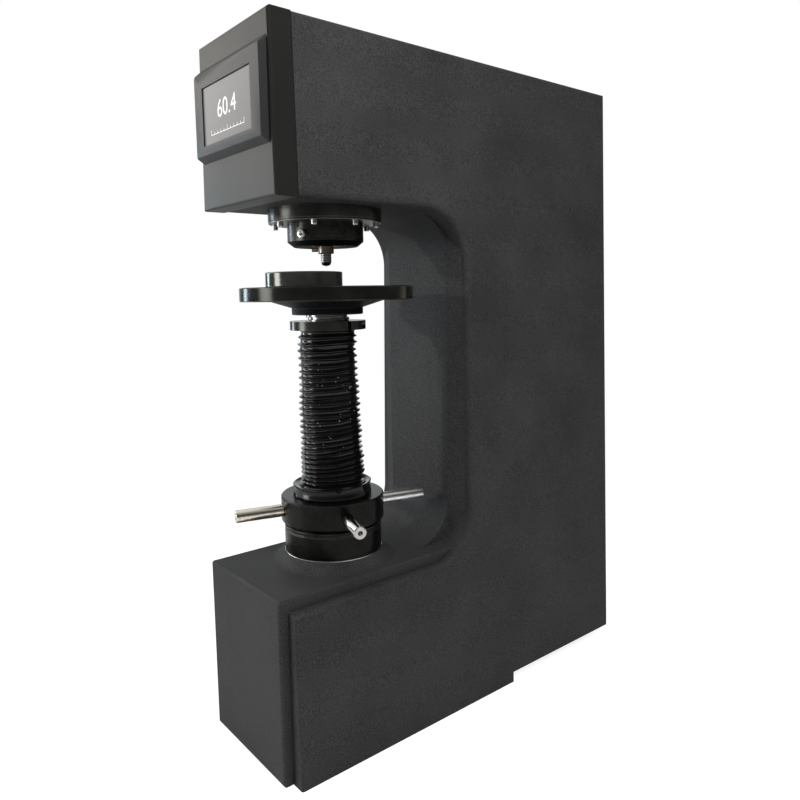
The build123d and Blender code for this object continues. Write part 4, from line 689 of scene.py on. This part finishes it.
# The spindle and what it carries: a ground shaft, a turned chuck, and the indenter with a 1/16 inch ball.
# A small thumb screw grips the indenter's shank.
def turned_piece(name, profile, sides=96):
    """A closed turned body on the test axis from radii and heights in millimetres, foot first."""
    mesh = ring_stack(name, [(radius / 1000, height / 1000) for radius, height in profile], sides)
    mesh.transform(Matrix.Translation(test_axis))
    return new_piece(name, mesh)


def stands_for(piece, node, body, finish):
    """Dresses a piece that replaces a CAD node, and lets it ride on its body."""
    finish.onto(piece)
    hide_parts(node)
    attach(piece, body)


bright_steel.onto(nodes["spindle"])
chuck_steel = turned_steel("chuck_steel", (0.24, 0.21, 0.185), (0.42, 0.38, 0.34), 0.2, 1.0, 3000, 0.00005)
softened("chuck", "load_spindle", chuck_steel, 0.0004)
waist_radius = 0.0094
chuck_place = on_the_wall(waist_radius, radians(-40), 0.5748)
thumb_screw = cap_screw(0.0026, 0.007, 0.0016, 0.0052, socket=0.45)
fixings("chuck_screw", thumb_screw, [chuck_place], "load_spindle", screw_steel, seed=2)
shank_tone = (0.5, 0.5, 0.485)
groove_pitch = 0.0026
indenter_steel = turned_steel("indenter_steel", shank_tone, shank_tone, 0.3, 1.0, 1500, 0.0003)
# Dark rings are painted round the shank, a painted shade for its grooves.
shank_height = indenter_steel.split(indenter_steel.place)[2]
groove_wave = indenter_steel.maths("SINE", shank_height * (2 * pi / groove_pitch))
painted_groove_shade = indenter_steel.ramp(groove_wave, (0.2, 0.0), (0.8, 1.0))
indenter_steel.give(Base_Color=indenter_steel.tint(painted_groove_shade, shank_tone, (0.1, 0.1, 0.098)))
softened("indenter", "load_spindle", indenter_steel, 0.0003)
tip_steel = turned_steel("dark_tip", (0.01, 0.01, 0.011), (0.03, 0.03, 0.032), 0.2, 0.7)
tip_steel.onto(nodes["ball_tip"])

# The round block and the table: the work rests on them, and both are turned and blackened.
# A set screw in the table's hub grips the lifting screw's spigot.
block_steel = turned_steel("block_steel", (0.08, 0.08, 0.075), (0.17, 0.17, 0.158), 0.08, 0.9, 3600, 0.00002)
softened("round_block", "elevating_screw", block_steel, 0.0006, 2, rubbed_steel)
# The table is painted in shade below its rim's foot, over its underside.
table_rim_foot = 0.5155
table_steel = turned_steel(
    "table_steel", (0.016, 0.016, 0.015), (0.045, 0.045, 0.041), 0.08, 0.85, foot=table_rim_foot
)
softened("table", "elevating_screw", table_steel, 0.0007, 3, rubbed_steel)
dark_screw_steel.onto(nodes["table_set_screw"])

# The lifting screw: a 51 mm steel screw with a square-shouldered thread of 6 mm pitch and a spigot on top.
# Rolling has left its crests bright. Its key groove stays under the bellows, and only the CAD has it.
screw_low = 0.150
screw_high = 0.499
pitch = 0.006
crest = 0.0255
root = 0.0232
spigot = 0.015
spigot_top = 0.5225
thread_sides = 72
thread_knots = ((0.0, crest), (0.0022, crest), (0.0030, root), (0.0052, root))


def thread_radius(height, turn):
    """The thread's radius at a height, for a share of one turn."""
    along = (height - screw_low - turn * pitch) % pitch
    stops = thread_knots + ((pitch, crest),)
    for (start, low), (end, high) in zip(stops, stops[1:]):
        if along <= end:
            return low + (high - low) * (along - start) / (end - start)
    return crest


def lifting_thread():
    """The threaded length, closed below, with its spigot above."""
    body = bmesh.new()
    turns = ceil((screw_high - screw_low) / pitch) + 2
    columns = []
    for side in range(thread_sides):
        share = side / thread_sides
        column = []
        for coil in range(-1, turns):
            for knot, reach in thread_knots:
                height = screw_low + (coil + share) * pitch + knot
                clamped = min(max(height, screw_low), screw_high)
                radius = reach if clamped == height else thread_radius(clamped, share)
                angle = 2 * pi * share
                column.append(body.verts.new((radius * cos(angle), radius * sin(angle) + axis_y, clamped)))
        columns.append(column)
    knots = len(thread_knots)
    for side in range(thread_sides):
        here = columns[side]
        after = columns[(side + 1) % thread_sides]
        jump = knots if side == thread_sides - 1 else 0
        for step in range(len(here) - 1 - jump):
            body.faces.new((here[step], after[step + jump], after[step + jump + 1], here[step + 1]))
    bmesh.ops.remove_doubles(body, verts=body.verts, dist=1e-6)
    bmesh.ops.dissolve_degenerate(body, dist=1e-6, edges=body.edges)
    foot = [edge for edge in body.edges if edge.is_boundary and abs(edge.verts[0].co.z - screw_low) < 1e-6]
    bmesh.ops.contextual_create(body, geom=foot)
    rim = [edge for edge in body.edges if edge.is_boundary]
    for height in (screw_high, spigot_top):
        made = bmesh.ops.extrude_edge_only(body, edges=rim)["geom"]
        for vert in [item for item in made if isinstance(item, bmesh.types.BMVert)]:
            out = Vector((vert.co.x, vert.co.y - axis_y, 0)).normalized() * spigot
            vert.co = (out.x, out.y + axis_y, height)
        rim = [edge for edge in body.edges if edge.is_boundary]
    bmesh.ops.contextual_create(body, geom=rim)
    bmesh.ops.recalc_face_normals(body, faces=body.faces)
    mesh = bpy.data.meshes.new("lifting_screw_finished")
    body.to_mesh(mesh)
    body.free()
    mesh.shade_smooth()
    mesh.set_sharp_from_angle(angle=radians(30))
    return mesh


thread_steel = turned_steel("thread_steel", (0.2, 0.2, 0.195), (0.55, 0.55, 0.53), 0.12, 1.0, 2000)
lifting_thread_piece = new_piece("lifting_screw_finished", lifting_thread())
stands_for(lifting_thread_piece, "lifting_screw", "elevating_screw", thread_steel)

# The bellows collar: a split ring of blackened steel that clamps on the screw and holds the bellows' top.
# A cap screw in its recess draws the split closed.
softened("bellows_collar", "elevating_screw", black_steel, 0.0004, 2, rubbed_steel)
dark_screw_steel.onto(nodes["collar_screw"])

# The bellows: black rubber, moulded in thin round folds that keep dirt off the screw.
# It stands a little askew, its lower folds crowd under their weight, and dust lies on a few of them.
rubber = Finish("black_rubber", Specular_IOR_Level=0.42)
rubber_slow = rubber.noise(rubber.place, 60, 3.0, 0.5)
rubber_fine = rubber.noise(rubber.place, 1500, 2.0)
rubber_z = rubber.split(rubber.place)[2]
dusty = rubber.ramp(rubber_z, (0.33, 0.0), (0.395, 1.0), (0.415, 0.9), (0.45, 0.0))
specks = rubber.above(0.17, rubber.cells(210))
patches = rubber.above(rubber.noise(rubber.place, 60, 2.0), 0.56)
dust = specks * patches * dusty
rubber_tone = rubber.tint(rubber_slow, (0.0016, 0.0016, 0.0018), (0.0045, 0.0045, 0.0048))
rubber.give(
    Base_Color=rubber.tint(dust * 0.75, rubber_tone, (0.5, 0.5, 0.48)),
    Roughness=0.04 + rubber_slow * 0.16 + rubber_fine * 0.05 + dust * 0.3,
)
rubber.bump(rubber_slow * 0.5 + rubber_fine * 0.5, 0.00002, 0.3)

fold_count = 27
around_steps = 96
steps_in_fold = 10
bellows_tree = bpy.data.node_groups.new("bellows_folds", "GeometryNodeTree")
for label, value in (
    ("Foot", 0.297),
    ("Height", 0.1845),
    ("Foot Radius", 0.0384),
    ("Top Radius", 0.0347),
    ("Fold Depth", 0.0046),
    ("Folds", float(fold_count)),
    ("Crowding", 0.23),
    ("Lean", 0.0019),
    ("Tilt", 0.085),
    ("Unevenness", 1.0),
):
    socket = bellows_tree.interface.new_socket(label, in_out="INPUT", socket_type="NodeSocketFloat")
    socket.default_value = value
bellows_tree.interface.new_socket("Finish", in_out="INPUT", socket_type="NodeSocketMaterial")
bellows_tree.interface.new_socket("Bellows", in_out="OUTPUT", socket_type="NodeSocketGeometry")
fold = Board(bellows_tree)
fold_grid = fold.node("GeometryNodeMeshGrid", values={
    "Size X": 1.0, "Size Y": 1.0,
    "Vertices X": around_steps + 1, "Vertices Y": fold_count * steps_in_fold + 1,
})
grid_x, grid_y = fold.split(fold.node("GeometryNodeInputPosition"))[:2]
share = grid_y + 0.5
angle = (grid_x + 0.5) * (2 * pi)
round_x = fold.maths("COSINE", angle)
round_y = fold.maths("SINE", angle)
wobble = fold.noise(fold.joined(round_x * 0.7, round_y * 0.7, share * 9.0), 1.0, 2.0) - 0.5
fold_number = share * fold.given("Folds")
own_fold = fold.maths("ROUND", fold_number)
own = fold.noise(fold.joined(own_fold * 3.7, round_x * 0.35, round_y * 0.35), 1.0, 1.0) - 0.5
ridge = (0.5 + fold.maths("COSINE", fold_number * (2 * pi)) * 0.5) ** 2.6
held = fold.maths("MINIMUM", share * 14.0, fold.maths("MINIMUM", (1.0 - share) * 14.0, 1.0))
outside = fold.given("Foot Radius") + (fold.given("Top Radius") - fold.given("Foot Radius")) * share
uneven = fold.given("Unevenness")
bulge = (wobble * 0.0024 + own * 0.0034) * held * uneven
reach = outside - fold.given("Fold Depth") * (1.0 - share * 0.3) * (1.0 - ridge) + bulge
along = share * (1.0 - fold.given("Crowding") * (1.0 - share))
lean = fold.given("Lean") * (1.0 - share * 2.0) * held
sideways = round_x * level_right.x + round_y * level_right.y
tilt = fold.given("Tilt") * fold.maths("SINE", share ** 0.6 * pi) * outside * sideways
rise = (tilt + (wobble * 0.005 + own * 0.0022) * uneven) * held
height = fold.given("Foot") + fold.given("Height") * along + rise
fold_x = reach * round_x + lean * level_right.x
fold_y = reach * round_y + lean * level_right.y + axis_y
fold_place = fold.joined(fold_x, fold_y, height)
folds_set = fold.node("GeometryNodeSetPosition", values={"Geometry": fold_grid, "Position": fold_place})
folds_set = fold.node("GeometryNodeMergeByDistance", values={"Geometry": folds_set, "Distance": 0.00001})
folds_set = fold.node("GeometryNodeSetShadeSmooth", values={"Geometry": folds_set, "Shade Smooth": True})
folds_set = fold.node("GeometryNodeRealizeInstances", values={0: folds_set})
folds_set = fold.node("GeometryNodeSetMaterial", values={
    "Geometry": folds_set, "Material": fold.given("Finish"),
})
bellows_tree.links.new(folds_set.socket, bellows_tree.nodes.new("NodeGroupOutput").inputs[0])

bellows = new_piece("bellows_finished", bpy.data.meshes.new("bellows_finished"))
add_tree(bellows, bellows_tree, Finish=rubber.material)
wall = bellows.modifiers.new("wall", "SOLIDIFY")
wall.thickness = 0.0008
wall.offset = -1
plain_mesh(bellows)
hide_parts("bellows")
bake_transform(bellows)

# The bellows' cuff: the wide rubber lip that the lowest fold ends in, lying over the recess in the hub.
# It has a glossy wall and a thin rim, which has curled up on the right.
cuff_wall = [(30.6, 284.1), (46.4, 284.1), (47.2, 284.9), (46.8, 289.0), (45.6, 293.6)]
cuff_rim = [(45.9, 294.8), (47.0, 295.6), (47.2, 296.5), (46.2, 297.2), (44.4, 297.0), (42.4, 296.2)]
cuff_top = [(40.4, 296.2), (39.0, 297.4), (30.6, 297.4)]
cuff = turned_piece("bellows_cuff_finished", cuff_wall + cuff_rim + cuff_top)
lip_foot = 0.2945
lip_inside = 0.042
lip_curl = 0.0016
for vertex in cuff.data.vertices:
    outward = Vector((vertex.co.x, vertex.co.y - axis_y, 0))
    if vertex.co.z > lip_foot and outward.length > lip_inside:
        to_the_right = outward.dot(level_right) / outward.length
        vertex.co.z += lip_curl * max(0.0, to_the_right) ** 2
stands_for(cuff, "bellows_cuff", "frame", rubber)

# The handwheel: a blackened hub on the bronze nut, its rim lightly rubbed.
# Four polished bars screw into it, not quite level; each has a broken edge and a lathe centre in its end.
hub_steel = turned_steel("hub_steel", (0.005, 0.005, 0.0048), (0.018, 0.018, 0.0165), 0.18, 0.85)
softened("handwheel_hub", "handwheel", hub_steel, 0.0005, 2, rubbed_steel)
bar_radius = 0.0074
bar_inner = 0.048
bar_outer = 0.117
bar_length = bar_outer - bar_inner
bar_shape = ring_stack("handle_bar", [
    (bar_radius - 0.0006, 0), (bar_radius, 0.0006), (bar_radius, bar_length - 0.0012),
    (bar_radius - 0.0003, bar_length - 0.0006), (bar_radius - 0.0011, bar_length),
    (0.0028, bar_length), (0.0018, bar_length - 0.0014), (0.0016, bar_length - 0.006),
], 64)
bar_height = 0.2683
hub_middle = Vector((0, axis_y, bar_height))
bar_lifts = (0.0, 0.03, 0.0, -0.026)
bar_points = round_the_axis(bar_inner, 4, radians(70.5), bar_height)
bar_ways = [(point - hub_middle).normalized() for point in bar_points]
bar_places = [
    (point, (way + Vector((0, 0, lift))).normalized())
    for point, way, lift in zip(bar_points, bar_ways, bar_lifts)
]
hub_wall = 0.04
polished = Finish("polished_bar", Metallic=1.0)
polish_x, polish_y, polish_z = polished.split(polished.shifted(hub_middle))
along_bars = polish_x * bar_ways[1].x + polish_y * bar_ways[1].y
right_bar_painted_reflection = polished.above(along_bars, hub_wall)
left_bar_painted_reflection = polished.above(along_bars * -1.0, hub_wall)
polish_lines = polished.noise(polished.joined(polish_x * 0.04, polish_y * 0.04, polish_z), 4200, 2.0)
polish_slow = polished.noise(polished.place, 70, 4.0, 0.6)
# The right bar is painted pale bluish white and the left bar warm cream: painted reflections on bars that are
# all the same polished steel.
plain_bar = polished.tint(polish_slow, (0.5, 0.49, 0.48), (0.74, 0.73, 0.71))
bars_with_painted_right_reflection = polished.tint(right_bar_painted_reflection, plain_bar, (0.93, 0.94, 0.96))
polished.give(
    Base_Color=polished.tint(left_bar_painted_reflection, bars_with_painted_right_reflection, (0.86, 0.79, 0.66)),
    Roughness=0.06 + polish_slow * 0.1 + polish_lines * 0.05 + right_bar_painted_reflection * 0.2 + left_bar_painted_reflection * 0.12,
)
polished.bump(polish_lines, 0.00001, 0.3)
fixings("handle_bars", bar_shape, bar_places, "handwheel", polished, turn=0.0)

# The base ring: a blackened collar bolted through the base's roof, that the hub turns on.
# It stands on a low pad, whose machined edge is left bare and shows as a thin bright line.
softened("base_ring", "frame", hub_steel, 0.0004, 2, rubbed_steel)
seat_profile = [(58.0, 217.02), (59.15, 217.02), (59.15, 217.5), (58.9, 217.8), (58.0, 217.8)]
seat_line = turned_piece("ring_seat_line", seat_profile, 128)
bright_steel.onto(seat_line)
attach(seat_line, "frame")

# The pad's foot runs out into the base's top in a long cast fillet, coated with it.
pad_radius = 59.4
fillet_spread = 18
fillet_rise = 10.9
fillet_foot = 206.03
fillet_steps = 14
fillet_curve = [(pad_radius + fillet_spread, 205.9)]
for step in range(fillet_steps, -1, -1):
    spread = step / fillet_steps
    height = fillet_foot + fillet_rise * (1 - spread) ** 2.2
    fillet_curve.append((pad_radius + fillet_spread * spread, height))
pad_fillet = turned_piece("pad_fillet", fillet_curve, 128)
pad_fillet.data.materials.append(nodes["casting"].data.materials[0])
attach(pad_fillet, "frame")

# The rear cover: a steel sheet let into the casting's back and coated with it, with rows of vent slots.
# Eight blackened socket screws hold it along its edges.
rear_coat = powder_coat("cover_powder_coat", (0.014, 0.014, 0.0143), (0.042, 0.042, 0.0428))
softened("rear_cover", "frame", rear_coat, 0.0003)
cover_back = 0.274
half_width_at_foot = 0.093
half_width_lost = 0.019 / cad_box[1][2]
rear_places = [
    (Vector((side * (half_width_at_foot - half_width_lost * height), cover_back, height)), Vector((0, 1, 0)))
    for side in (-1, 1) for height in (0.0555, 0.291, 0.5265, 0.762)
]
rear_screw = cap_screw(0.00275, 0.0022, 0.0015, 0.0095, knurled=False)
fixings("rear_cover_screws", rear_screw, rear_places, "frame", dark_screw_steel, seed=7)
dark_screw_steel.onto(nodes["head_cover_screws"])

# The power inlet and its rocker switch: one black moulding set in the rear cover, with three bare pins.
# The rocker carries a plain bar and ring, moulded in white, for on and off.
inlet_plastic = Finish("black_moulding", Specular_IOR_Level=0.45)
inlet_x, inlet_y, inlet_z = inlet_plastic.split(inlet_plastic.place)
inlet_grain = inlet_plastic.noise(inlet_plastic.place, 2200, 2.0)
inlet_slow = inlet_plastic.noise(inlet_plastic.place, 60, 3.0)
moulding = inlet_plastic.tint(inlet_slow, (0.011, 0.011, 0.011), (0.022, 0.022, 0.022))


def within(value, centre, half):
    """1 where a wire lies within half of a centre."""
    return inlet_plastic.above(half, inlet_plastic.maths("ABSOLUTE", value - centre))


inlet_middle = 0.042
pins_height = 0.085
pins_depth = 0.2665
bar_mark_height = 0.1121
ring_mark_height = 0.1049
ring_mark_radius = 0.0015
pins = (
    within(inlet_x, inlet_middle, 0.0112)
    * within(inlet_z, pins_height, 0.0072)
    * within(inlet_y, pins_depth, 0.0058)
)
bar_mark = within(inlet_x, inlet_middle, 0.0005) * within(inlet_z, bar_mark_height, 0.0016)
ring_x = inlet_x - inlet_middle
ring_z = inlet_z - ring_mark_height
ring_mark = within((ring_x * ring_x + ring_z * ring_z) ** 0.5, ring_mark_radius, 0.0003)
marks = inlet_plastic.maths("MAXIMUM", bar_mark, ring_mark) * inlet_plastic.above(inlet_y, cover_back)
marked = inlet_plastic.tint(marks, moulding, (0.6, 0.6, 0.6))
inlet_plastic.give(
    Base_Color=inlet_plastic.tint(pins, marked, (0.72, 0.66, 0.5)),
    Metallic=pins,
    Roughness=0.38 + inlet_grain * 0.14 - pins * 0.16,
)
inlet_plastic.bump(inlet_grain, 0.00006, 0.4)
inlet_plastic.onto(nodes["power_inlet"], nodes["power_switch"])
